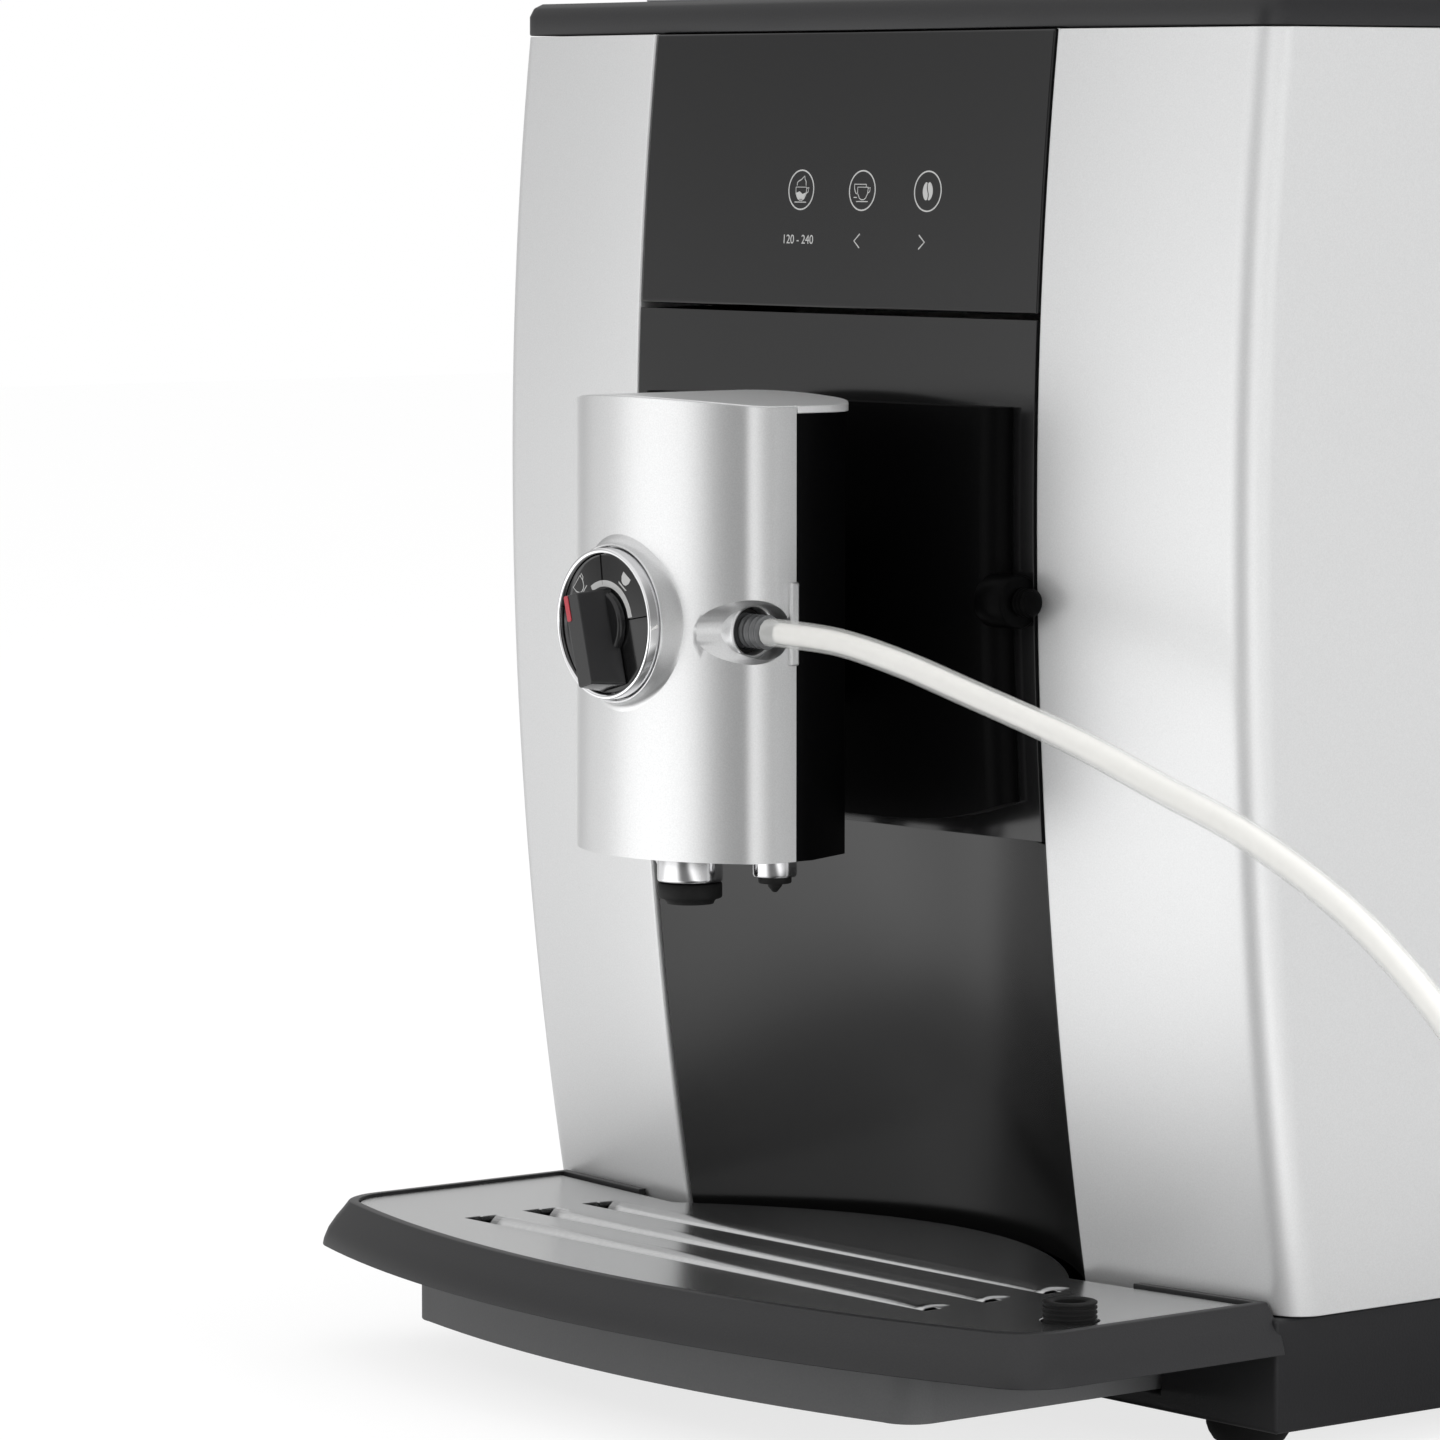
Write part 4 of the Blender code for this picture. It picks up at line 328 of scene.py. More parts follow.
height = node(room, "ShaderNodeSeparateXYZ", {}, {0: outward}, "Z")
camera_ray, glossy_ray, through_ray = ray_kinds(room)
mirrored = mirrored_room(room, outward) * smooth_step(room, height, -0.06, 0.2, 1.0, 0.66)
scattered = 0.8 + height * 0.18
seen = camera_ray + through_ray
light = seen + (1.0 - seen) * (glossy_ray * mirrored + (1.0 - glossy_ray) * scattered)
room.nodes["Background"].inputs["Color"].default_value = (1.0, 1.0, 1.0, 1.0)
room.links.new(light.socket, room.nodes["Background"].inputs["Strength"])

floor_finish = bpy.data.materials.new("studio floor")
floor_finish.use_nodes = True
tree = floor_finish.node_tree
base = tree.nodes["Principled BSDF"]
base.inputs["Base Color"].default_value = (0.86, 0.86, 0.86, 1.0)
base.inputs["Roughness"].default_value = 0.9
spot = node(tree, "ShaderNodeTexCoord", output="Object")
away = node(tree, "ShaderNodeVectorMath", {"operation": "NORMALIZE"}, {0: spot})
reach = node(tree, "ShaderNodeVectorMath", {"operation": "LENGTH"}, {0: spot}, "Value")
# Painted shade: in mirrors the floor's glow is dimmed close to the machine, standing in for the shade the machine casts
# round itself.
painted_floor_shade = smooth_step(tree, reach, 0.24, 0.42, 0.2, 1.28)
camera_on, mirror_on, through_on = ray_kinds(tree)
floor_white, glow_share = 1.07, 0.72
shown = mirror_on * mirrored_room(tree, away) * painted_floor_shade + (1.0 - mirror_on) * floor_white
glow = node(tree, "ShaderNodeEmission", {}, {"Strength": shown})
mixed = node(tree, "ShaderNodeMixShader", {}, {0: (camera_on + through_on) * glow_share + mirror_on,
                                               1: Value(tree, base.outputs[0]), 2: glow})
tree.links.new(mixed.socket, tree.nodes["Material Output"].inputs["Surface"])
floor_half = 6.0
bm = bmesh.new()
bmesh.ops.create_grid(bm, x_segments=1, y_segments=1, size=floor_half)
floor = put_in("floor", mesh_of(bm, "floor"))
floor.data.materials.append(floor_finish)

lit_middle = Vector((0, 0, 0.18))
for name, where, size, watts in (("key", (-0.9, -1.5, 1.5), 1.2, 9.0), ("side", (1.9, 0.2, 0.45), 1.2, 30.0),
                                 ("back", (0.4, 1.6, 1.5), 1.4, 7.0)):
    lamp = bpy.data.lights.new(name, "AREA")
    lamp.shape = "DISK"
    lamp.size = size
    lamp.energy = watts
    lit = put_in(name, lamp)
    lit.location = where
    lit.rotation_euler = (lit_middle - Vector(where)).to_track_quat("-Z", "Y").to_euler()
    lit.visible_glossy = False


# Base, feet, deck and bulkhead
# A black moulded base on four rubber feet carries a pressed steel deck. A grey bulkhead stands on the deck
# behind the fascia. They are screwed together from below.

flat_angle = 0.4


def eased(node_name, material, edge, segments=2):
    """A solid of the frame with its edges rounded over."""
    solid = frame["nodes"][node_name]
    bm = bmesh.new()
    bm.from_mesh(solid.data)
    bmesh.ops.remove_doubles(bm, verts=bm.verts, dist=merge_gap)
    bmesh.ops.dissolve_limit(bm, angle_limit=math.radians(flat_angle), verts=bm.verts, edges=bm.edges)
    return place(node_name + "_piece", bm, material, solid["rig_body"], node_name, edge=edge, segments=segments)


black_plastic = finish("black moulded plastic", (0.011, 0.011, 0.012), 0.46, grain=1500, tint=0.2, relief=0.00006)
rubber = finish("black rubber", (0.007, 0.007, 0.007), 0.6, grain=900, tint=0.25, relief=0.00008,
                Specular_IOR_Level=0.25)
sheet_steel = finish("galvanised sheet", (0.55, 0.55, 0.56), 0.34, 1.0, grain=90, tint=0.14, wear=0.2)
grey_plastic = finish("grey moulded plastic", (0.3, 0.3, 0.29), 0.5, grain=1200, tint=0.06, relief=0.00005)

eased("base_frame", black_plastic, 0.0012, 3)
eased("chassis_deck", sheet_steel, 0.0004)
eased("bulkhead", grey_plastic, 0.0005)
foot_profile = [(0, 0), (0.007, 0), (0.0072, 0.0004), (0.008, 0.0004), (0.0082, 0), (0.009, 0), (0.0104, 0.0022),
                (0.011, 0.004), (0.011, 0.0077), (0, 0.0077)]
for end, y in (("front", -0.095), ("rear", 0.195)):
    for side, x in (("left", -0.115), ("right", 0.115)):
        foot = "foot_%s_%s" % (end, side)
        place(foot + "_piece", turned(foot_profile, (x, y, 0), steps=40), rubber, "machine", foot, edge=0.0003)


# Side shells
# Two pressed shells in metallic silver paint. Each has a bowed front cheek, a tight front corner, a plain
# side with a rounded rear corner, and a flange that hooks behind the fascia.

front_peak_y, front_peak_z = -0.14, 0.24
upper_bow, lower_bow, cross_bow = 1.03, 1.15, 2.2


def front(x, z):
    """How far back the machine's bowed front lies at a place."""
    bow = upper_bow if z > front_peak_z else lower_bow
    return front_peak_y + (z - front_peak_z) ** 2 / (2 * bow) + x * x / (2 * cross_bow)


def slice_across(bm, axis, places):
    """Cuts every face along planes square to an axis."""
    normal = [0.0, 0.0, 0.0]
    normal[axis] = 1.0
    for at in places:
        point = [0.0, 0.0, 0.0]
        point[axis] = at
        bmesh.ops.bisect_plane(bm, geom=bm.verts[:] + bm.edges[:] + bm.faces[:], plane_co=point, plane_no=normal)


def spread(low, high, count):
    return [low + (high - low) * i / (count - 1) for i in range(count)]


def line_out(bm, points):
    """Joins points by a line, makes a sheet of it in place, and gives back the sheet's free points."""
    edges = [bm.edges.new(pair) for pair in zip(points, points[1:])]
    made = bmesh.ops.extrude_edge_only(bm, edges=edges)["geom"]
    return [v for v in made if isinstance(v, bmesh.types.BMVert)]


def walls_from(plan, bottom, top):
    """Draws a line of points in plan up into upright walls."""
    bm = bmesh.new()
    raised = line_out(bm, [bm.verts.new((x, y, bottom)) for x, y in plan])
    bmesh.ops.translate(bm, verts=raised, vec=(0, 0, top - bottom))
    return bm


def round_uprights(bm, x, y, radius, steps):
    """Rounds the upright edge that stands at a place in plan."""
    there = [e for e in bm.edges if all(math.dist(v.co.xy, (x, y)) < 0.00001 for v in e.verts)]
    bmesh.ops.bevel(bm, geom=there, offset=radius, segments=steps, profile=0.5, affect="EDGES", material=-1)


def inside_box(bm, low, high):
    """The faces whose middles lie in a box."""
    return [f for f in bm.faces if all(a < c < b for a, c, b in zip(low, f.calc_center_median(), high))]


def remove_window(bm, low, high):
    bmesh.ops.delete(bm, geom=inside_box(bm, low, high), context="FACES")


def turn_outwards(bm, axis, sign=1):
    """Turns an open sheet's faces over if the furthest one along an axis looks inwards."""
    bm.normal_update()
    furthest = max(bm.faces, key=lambda f: f.calc_center_median()[axis] * sign)
    if furthest.normal[axis] * sign < 0:
        bmesh.ops.reverse_faces(bm, faces=bm.faces)


def give_wall(piece, thickness):
    """Gives a sheet its wall behind the side that shows."""
    wall = piece.modifiers.new("wall", "SOLIDIFY")
    wall.thickness = thickness
    wall.offset = -1.0


silver = finish("silver metallic paint", (0.72, 0.723, 0.725), 0.33, 0.9, grain=2600, tint=0.12, relief=0.00003,
                wear=0.04)
pale_silver = finish("pale silver metallic paint", (0.7, 0.703, 0.705), 0.37, 0.62, grain=2600, tint=0.09,
                     relief=0.00002, wear=0.04)
shell_edge, shell_side, shell_rear = 0.0808, 0.151, 0.225
shell_bottom, shell_top = 0.0373, 0.357
return_back, rear_return, cheek_sweep = -0.0853, 0.026, 0.0078
door_low, door_high = (-0.062, 0.06), (0.036, 0.26)
for shell, side in (("right_side_shell", 1), ("left_side_shell", -1)):
    start = front(shell_edge, shell_bottom)
    bm = walls_from([(shell_edge, return_back), (shell_edge, start), (shell_side, start + cheek_sweep),
                     (shell_side, shell_rear), (shell_side - rear_return, shell_rear)], shell_bottom, shell_top)
    round_uprights(bm, shell_side, start + cheek_sweep, 0.008, 10)
    round_uprights(bm, shell_side, shell_rear, 0.018, 12)
    round_uprights(bm, shell_edge, start, 0.0009, 3)
    slice_across(bm, 2, spread(shell_bottom, shell_top, 34)[1:-1])
    for vert in bm.verts:
        if vert.co.y < -0.09:
            vert.co.y += front(shell_edge, vert.co.z) - start
    if side < 0:
        bmesh.ops.scale(bm, verts=bm.verts, vec=(-1, 1, 1))
        bmesh.ops.reverse_faces(bm, faces=bm.faces)
        slice_across(bm, 1, (door_low[0], door_high[0]))
        slice_across(bm, 2, (door_low[1], door_high[1]))
        remove_window(bm, (-0.152, *door_low), (-0.15, *door_high))
    turn_outwards(bm, 0, side)
    painted = place(shell + "_piece", bm, pale_silver, "machine", shell, closed=False)
    give_wall(painted, 0.0025)
    round_edges(painted, 0.0005, 2, 50)


# Service door
# A flat painted door in the left side shell, hinged at its rear edge, with a pressed finger hollow near its
# front edge. It covers the brew unit and the grounds container.

def flat_plate(low, high, corner, steps=6, bm=None):
    """A plate between two corners, thin along its shortest side, with rounded corners."""
    if bm is None:
        bm = bmesh.new()
    size = [b - a for a, b in zip(low, high)]
    made = bmesh.ops.create_cube(bm, size=1.0)["verts"]
    bmesh.ops.scale(bm, verts=made, vec=size)
    bmesh.ops.translate(bm, verts=made, vec=[(a + b) / 2 for a, b in zip(low, high)])
    thin = size.index(min(size))
    short = [e for e in bm.edges if e.verts[0] in made
             and abs((e.verts[0].co - e.verts[1].co)[thin]) > min(size) / 2]
    bmesh.ops.bevel(bm, geom=short, offset=corner, segments=steps, profile=0.5, affect="EDGES", material=-1)
    return bm


def sink_panel(bm, border, wall, depth):
    """Sinks the middle of a plate's upper face, leaving a border."""
    bm.normal_update()
    top = max((f for f in bm.faces if f.normal.z > 0.9), key=lambda f: f.calc_area())
    bmesh.ops.inset_region(bm, faces=[top], thickness=border, depth=0.0)
    bmesh.ops.inset_region(bm, faces=[top], thickness=wall, depth=-depth)


grip_y, grip_z, grip_border, grip_depth = (-0.057, -0.045), (0.135, 0.185), 0.0025, 0.0015
bm = flat_plate((-0.151, -0.0614, 0.0606), (-0.1485, 0.0354, 0.2594), 0.004)
slice_across(bm, 1, grip_y)
slice_across(bm, 2, grip_z)
bm.normal_update()
hollow = inside_box(bm, (-0.152, grip_y[0], grip_z[0]), (-0.15, grip_y[1], grip_z[1]))
bmesh.ops.inset_region(bm, faces=hollow, thickness=grip_border, depth=0.0)
bmesh.ops.translate(bm, verts=list({v for f in hollow for v in f.verts}), vec=(grip_depth, 0, 0))
place("service_door_piece", bm, pale_silver, "door", "service_door", edge=0.0005, sharp=25)


# Rear cover
# A flat black cover with eight cooling slots and openings for the mains inlet and the rocker switch, held
# between the two shells' returns.

eased("rear_cover", black_plastic, 0.0005)


# Top cover, warming plate, lids, setting knob and chute
# The black top carries a brushed and ribbed warming plate, the tank's lid, the smoked bean lid, a small turned
# knob for the grind, and the flap of the ground coffee chute.

brushed_steel = finish("brushed steel", (0.62, 0.62, 0.63), 0.28, 1.0, grain=320, tint=0.1, relief=0.00002,
                       wear=0.08, stretch=(0.03, 1.0, 1.0))
smoked = finish("smoked clear plastic", (0.055, 0.058, 0.062), 0.08, grain=60, tint=0.06, Alpha=0.62,
                Coat_Weight=0.5, Coat_Roughness=0.05)
eased("top_cover", black_plastic, 0.0006, 3)

plate_front, rib_pitch = -0.108, 0.012667
bm = flat_plate((-0.12, plate_front, 0.3663), (0.12, 0.006, 0.3685), 0.008)
place("cup_plate_base", bm, brushed_steel, "machine", "cup_plate", edge=0.0004)
bm = bmesh.new()
for i in range(8):
    y = plate_front + rib_pitch * (i + 1)
    flat_plate((-0.107, y - 0.0014, 0.36845), (0.107, y + 0.0014, 0.36875), 0.0013, 4, bm)
place("cup_plate_ribs", bm, brushed_steel, "machine", slot="steel_sheet", edge=0.0001)

for name, material, body, low, high in (
        ("tank_lid", black_plastic, "tank_cover", (-0.141, 0.041, 0.3663), (-0.023, 0.199, 0.37)),
        ("bean_lid", smoked, "bean_cover", (0.02, 0.043, 0.3663), (0.14, 0.161, 0.37))):
    bm = flat_plate(low, high, 0.01, 8)
    sink_panel(bm, 0.006, 0.0008, 0.0008)
    place(name + "_piece", bm, material, body, name, edge=0.0007, segments=3, sharp=25)
    middle = (low[0] + high[0]) / 2
    bm = flat_plate((middle - 0.016, low[1] + 0.0095, 0.369), (middle + 0.016, low[1] + 0.0125, 0.36995), 0.0014, 4)
    place(name + "_grip", bm, material, body, slot=slots[name], edge=0.0003)

knob_profile = [(0, 0.262), (0.003, 0.262), (0.003, 0.3663), (0.011, 0.3663), (0.011, 0.369), (0.01, 0.37),
                (0.006, 0.37), (0.0055, 0.3694), (0, 0.3694)]
knob_middle, knob_seat, core_radius, flutes, flute_depth = Vector((0.08, 0.028)), 0.3662, 0.0095, 24, 0.035
bm = turned(knob_profile, (*knob_middle, 0), steps=72)
for vert in bm.verts:
    out = vert.co.xy - knob_middle
    if vert.co.z > knob_seat and out.length > core_radius:
        turn = math.atan2(out.y, out.x)
        vert.co.xy = knob_middle + out * (1 - flute_depth * (0.5 + 0.5 * math.cos(turn * flutes)))
place("grind_knob_piece", bm, black_plastic, "setting_knob", "grind_knob", sharp=40)
white_paint = finish("white paint mark", (0.75, 0.75, 0.73), 0.5, grain=600)
bm = flat_plate((0.0792, 0.02, 0.36985), (0.0808, 0.025, 0.37), 0.0005, 3)
place("grind_knob_mark", bm, white_paint, "setting_knob", slot="black_plastic")

dark_grey = finish("dark grey satin plastic", (0.035, 0.036, 0.038), 0.42, grain=1900, tint=0.14, relief=0.00005)
eased("ground_chute", dark_grey, 0.0004)
bm = flat_plate((-0.0185, 0.0495, 0.3678), (0.0185, 0.0905, 0.37), 0.004)
sink_panel(bm, 0.003, 0.0006, 0.0006)
place("chute_flap_piece", bm, black_plastic, "flap", "chute_flap", edge=0.0004, sharp=25)


# Fascia and its lower shelf
# A black gloss moulding across the front, bowed both ways, with short returns at its sides and a tall slot for
# the spout's carriage. A flat shelf closes it below.

black_gloss = finish("black gloss plastic", (0.006, 0.006, 0.0062), 0.12, grain=70, tint=0.1, relief=0.00001,
                     wear=0.05)
centre_half, fascia_bottom, fascia_top = 0.08, 0.1522, 0.284
slot_half, slot_bottom, slot_top = 0.0084, 0.161, 0.258
bm = walls_from([(-centre_half, return_back), (-centre_half, -0.13), (centre_half, -0.13), (centre_half, return_back)],
                fascia_bottom, fascia_top)
slice_across(bm, 0, spread(-centre_half, centre_half, 30)[1:-1] + [-slot_half, slot_half])
slice_across(bm, 2, spread(fascia_bottom, fascia_top, 14)[1:-1] + [slot_bottom, slot_top])
for vert in bm.verts:
    if vert.co.y < -0.12:
        vert.co.y = front(vert.co.x, vert.co.z)
remove_window(bm, (-slot_half, -0.2, slot_bottom), (slot_half, -0.1, slot_top))
turn_outwards(bm, 0)
fascia = place("front_fascia_piece", bm, black_gloss, "machine", "front_fascia", closed=False)
give_wall(fascia, 0.0018)
round_edges(fascia, 0.0006, 3, 40)


def drawn_out(bm, faces, way):
    """Draws faces out by a step, and gives back the points at the far end."""
    made = bmesh.ops.extrude_face_region(bm, geom=faces, use_keep_orig=True)["geom"]
    far = [v for v in made if isinstance(v, bmesh.types.BMVert)]
    bmesh.ops.translate(bm, verts=far, vec=way)
    return far


def slab(outline, bottom, top):
    """A plate with an outline in plan, drawn up from bottom to top."""
    bm = bmesh.new()
    face = bm.faces.new([bm.verts.new((x, y, bottom)) for x, y in outline])
    drawn_out(bm, [face], (0, 0, top - bottom))
    return bm


shelf_half, shelf_back = 0.0788, -0.0857
edge_line = [(x, front(x, 0.152) + 0.0012) for x in spread(-shelf_half, shelf_half, 25)]
bm = slab(edge_line + [(shelf_half, shelf_back), (-shelf_half, shelf_back)], 0.1523, 0.1548)
place("cup_space_ceiling", bm, black_gloss, "machine", slot="black_gloss", edge=0.0004)


# Touch panel
# A black glass plate, 4 mm thick, with symbols printed behind it that light up: drinks above, and a setting
# with two arrows below. The board that reads it stands behind.

def upright_sheet(half_width, bottom, top, columns=1, rows=1):
    """A flat upright sheet of faces in the plane y = 0."""
    bm = bmesh.new()
    bmesh.ops.create_grid(bm, x_segments=columns, y_segments=rows, size=0.5)
    bmesh.ops.rotate(bm, verts=bm.verts, matrix=Matrix.Rotation(math.pi / 2, 3, "X"))
    bmesh.ops.scale(bm, verts=bm.verts, vec=(2 * half_width, 1, top - bottom))
    bmesh.ops.translate(bm, verts=bm.verts, vec=(0, 0, (bottom + top) / 2))
    return bm


def lay_on(bm, surface):
    """Moves each point back to where a surface lies."""
    for vert in bm.verts:
        vert.co.y += surface(vert.co.x, vert.co.z)


black_glass = finish("black glass", (0.004, 0.004, 0.0043), 0.06, grain=40, tint=0.06, wear=0.03)
print_grey = finish("printed symbols", (0.42, 0.42, 0.415), 0.4, grain=2000, tint=0.05)
glow_socket = print_grey.node_tree.nodes["Principled BSDF"].inputs
glow_socket["Emission Color"].default_value = (0.75, 0.75, 0.74, 1.0)
glow_socket["Emission Strength"].default_value = 0.08
bm = upright_sheet(centre_half, 0.2854, shell_top, 36, 16)
drawn_out(bm, bm.faces[:], (0, 0.004, 0))
lay_on(bm, front)
place("touch_panel_piece", bm, black_glass, "machine", "touch_panel", edge=0.0007, segments=3, sharp=50)


def lines_on(name, strokes, width, surface, material, body, slot_name):
    """Printed lines: thin wires pressed almost flat onto the face that carries them."""
    curve = bpy.data.curves.new(name, "CURVE")
    curve.dimensions = "3D"
    curve.bevel_depth = width / 2
    curve.bevel_resolution = 1
    curve.use_fill_caps = True
    for points in strokes:
        spline = curve.splines.new("POLY")
        spline.points.add(len(points) - 1)
        for point, (x, z) in zip(spline.points, points):
            point.co = (x, 0, z, 1.0)
        spline.use_cyclic_u = math.dist(points[0], points[-1]) < 0.00001
    drawn = put_in(name, curve)
    mesh = bpy.data.meshes.new_from_object(drawn)
    bpy.data.objects.remove(drawn)
    bm = bmesh.new()
    bm.from_mesh(mesh)
    bmesh.ops.scale(bm, verts=bm.verts, vec=(1, 0.15, 1))
    lay_on(bm, surface)
    return place(name, bm, material, body, slot=slot_name)


def shapes_on(name, outlines, surface, material, body, slot_name, depth=0.00006):
    """Printed solid shapes: thin flat prisms on the face that carries them."""
    bm = bmesh.new()
    for points in outlines:
        drawn_out(bm, [bm.faces.new([bm.verts.new((x, 0, z)) for x, z in points])], (0, -depth, 0))
    lay_on(bm, surface)
    return place(name, bm, material, body, slot=slot_name)


def oval(x, z, half_x, half_z, start=0.0, end=360.0, count=40):
    """Points round an ellipse in the plane of the front."""
    turns = [math.radians(start + (end - start) * i / count) for i in range(count + 1)]
    return [(x + half_x * math.cos(t), z + half_z * math.sin(t)) for t in turns]


symbol_row, setting_row = 0.316, 0.303
foam_x, pair_x, bean_x = -0.0131, 0.0116, 0.0372
rings = [oval(x, symbol_row, 0.0051, 0.0051) for x in (foam_x, pair_x, bean_x)]
cup = [(-0.0022, 0.0007), (0.0022, 0.0007), (0.0021, -0.001), (0.0013, -0.0023), (0.0005, -0.0027),
       (-0.0005, -0.0027), (-0.0013, -0.0023), (-0.0021, -0.001), (-0.0022, 0.0007)]
handle = [(0.0022, 0.0004), (0.0031, 0.0006), (0.0029, -0.0005), (0.0021, -0.0009)]
saucer = [(-0.0025, -0.0032), (0.0023, -0.0032)]
foam = [(-0.0018, 0.0011), (-0.0017, 0.0019), (-0.0011, 0.0023), (-0.0003, 0.0026), (0.0006, 0.0032),
        (0.0012, 0.0036), (0.0013, 0.0028), (0.0018, 0.0022), (0.0019, 0.0011)]
back_cup = [(0.0015, 0.0009), (0.0015, 0.0016), (-0.0032, 0.0016), (-0.0031, 0.0003), (-0.0026, -0.0006),
            (-0.0022, -0.0009)]
back_saucer = [(-0.0033, -0.0018), (-0.002, -0.0018)]


def moved(points, x, z, size=1.0):
    return [(x + a * size, z + b * size) for a, b in points]


fine_strokes = [moved(line, foam_x, symbol_row) for line in (cup, handle, saucer, foam)]
fine_strokes += [moved(line, pair_x + 0.0002, symbol_row + 0.0002, 0.95) for line in (cup, handle, saucer)]
fine_strokes += [moved(line, pair_x, symbol_row) for line in (back_cup, back_saucer)]
arrows = [moved([(0.0011, 0.0018), (-0.0011, 0.0), (0.0011, -0.0018)], 0.0104, setting_row),
          moved([(-0.0011, 0.0018), (0.0011, 0.0), (-0.0011, -0.0018)], 0.0358, setting_row)]


def on_panel(x, z):
    """Just in front of the touch panel."""
    return front(x, z) - 0.00003


lines_on("touch_rings", rings + arrows, 0.00044, on_panel, print_grey, "machine", "black_glass")
lines_on("touch_symbols", fine_strokes, 0.00028, on_panel, print_grey, "machine", "black_glass")
seam_half, seam_swing, seam_reach = 0.00018, 0.00028, 0.0023
fills = []
for side, start, end in ((-1, 110, 250), (1, 70, -70)):
    seam_line = [(side * seam_half - seam_swing * math.sin(t * math.pi), seam_reach * t)
                 for t in spread(-0.94, 0.94, 12)]
    fills.append(moved(seam_line + oval(0, 0, 0.0019, 0.0025, start, end, 14), bean_x, symbol_row))
fills.append(moved([(-0.002, -0.0008), (-0.0006, -0.0004), (0.0006, -0.0011), (0.002, -0.0007), (0.0011, -0.0024),
                    (-0.0011, -0.0024)], foam_x, symbol_row))
shapes_on("touch_symbol_fills", fills, front, print_grey, "machine", "black_glass")
number = bpy.data.curves.new("setting_number", "FONT")
number.body = "120 - 240"
number.size = 0.0033
number.align_x = "CENTER"
number.align_y = "CENTER"
number.extrude = 0.00003
written = put_in("setting_number", number)
letters = bpy.data.meshes.new_from_object(written)
bpy.data.objects.remove(written)
bm = bmesh.new()
bm.from_mesh(letters)
bmesh.ops.rotate(bm, verts=bm.verts, matrix=Matrix.Rotation(math.pi / 2, 3, "X"))
bmesh.ops.translate(bm, verts=bm.verts, vec=(-0.0135, 0, setting_row))
lay_on(bm, on_panel)
place("touch_number", bm, print_grey, "machine", slot="black_glass")

board_green = finish("lacquered circuit board", (0.015, 0.1, 0.04), 0.35, grain=420, tint=0.35, wear=0.1,
                     Coat_Weight=0.4)
eased("display_board", board_green, 0.0002)


# Spout guide and parking spigot
# A matt black moulding on the fascia. The spout's carriage runs in its slot. A small ribbed spigot on its
# side holds the milk hose when the hose isn't used.

guide_half, guide_bottom, guide_top = 0.0725, 0.155, 0.262
proud, rounded_share, end_rise = 0.006, 0.88, 0.007
guide_black = finish("deep black plastic", (0.0012, 0.0012, 0.0013), 0.42, grain=1600, tint=0.3, relief=0.00003,
                     Specular_IOR_Level=0.04)


def guide_face(x, z):
    """The guide stands proud of the fascia, rounded off over as much at each end."""
    into_end = max(0.0, abs(x) - (guide_half - proud)) / proud
    rounded = math.sqrt(max(0.0, 1 - into_end ** 2))
    return front(x, z) - proud * rounded * rounded_share - proud * (1 - rounded_share)


bm = upright_sheet(guide_half, guide_bottom, guide_top)
ends = [guide_half - proud * (1 - math.sin(math.radians(a))) for a in (0, 15, 30, 45, 60, 72, 82)]
slice_across(bm, 0, [-x for x in ends] + ends + [-slot_half, slot_half] + spread(-0.062, 0.062, 21))
slice_across(bm, 2, spread(guide_bottom, guide_top, 12)[1:-1] + [slot_bottom, slot_top])
remove_window(bm, (-slot_half, -1, slot_bottom), (slot_half, 1, slot_top))
drawn_out(bm, bm.faces[:], (0, 1, 0))
for vert in bm.verts:
    behind = vert.co.y > 0.5
    if abs(vert.co.x) > slot_half + 0.0001:
        share = (guide_top - vert.co.z) / (guide_top - guide_bottom)
        vert.co.z += end_rise * (abs(vert.co.x) / guide_half) ** 4 * share
    vert.co.y = front(vert.co.x, vert.co.z) - 0.0003 if behind else guide_face(vert.co.x, vert.co.z)
place("spout_guide_piece", bm, guide_black, "machine", "spout_guide", edge=0.0006, segments=3, sharp=55)

spigot_z = 0.2133
spigot_y = front(guide_half, spigot_z) - 0.004
spigot = [(0, 0.069), (0.0062, 0.069), (0.0068, 0.07), (0.0068, 0.0793), (0.0063, 0.0798), (0.003, 0.0798)]
for i in range(3):
    start = 0.08 + 0.0016 * i
    spigot += [(0.003, start), (0.0036, start + 0.0004), (0.0036, start + 0.0008), (0.003, start + 0.0012)]
spigot += [(0.003, 0.0846), (0.0024, 0.085), (0, 0.085)]
bm = turned(spigot, (0, spigot_y, spigot_z), "X", 48)
place("hose_parking_spigot_piece", bm, guide_black, "machine", "hose_parking_spigot", sharp=50)


# Splash panel
# A satin black sheet below the fascia, hollowed in plan to leave room under the spout. Its foot stands behind
# the drip tray.

splash_foot, splash_head, foot_depth, head_depth = 0.037, 0.1515, 0.0325, 0.02


def splash_front(x, z):
    """The hollow front of the splash panel, deepest at its foot."""
    share = (z - splash_foot) / (splash_head - splash_foot)
    depth = foot_depth + (head_depth - foot_depth) * share
    return front(centre_half, z) + 0.001 + depth * (1 - (x / centre_half) ** 2)


bm = upright_sheet(centre_half, 0.0376, 0.1517, 44, 14)
drawn_out(bm, bm.faces[:], (0, 0.003, 0))
lay_on(bm, splash_front)
splash_black = finish("satin black plastic", (0.005, 0.005, 0.005), 0.24, grain=1900, tint=0.2, relief=0.00002,
                      Specular_IOR_Level=0.62)
place("splash_panel_piece", bm, splash_black, "machine", "splash_panel", edge=0.0004, sharp=50)


# Spout
# A painted shell bent round a shallow arc, with a scooped hollow in its right corner for the milk socket. A
# crowned lid and a black rear body close it, and a carriage carries it in the guide.

spout_bottom, spout_top, spout_seam, spout_half = 0.1468, 0.2615, -0.181, 0.038
arc_radius, arc_y, corner_radius, corner_x, corner_y = 0.052, -0.156, 0.012, 0.026, -0.1864
shell_wall = 0.002


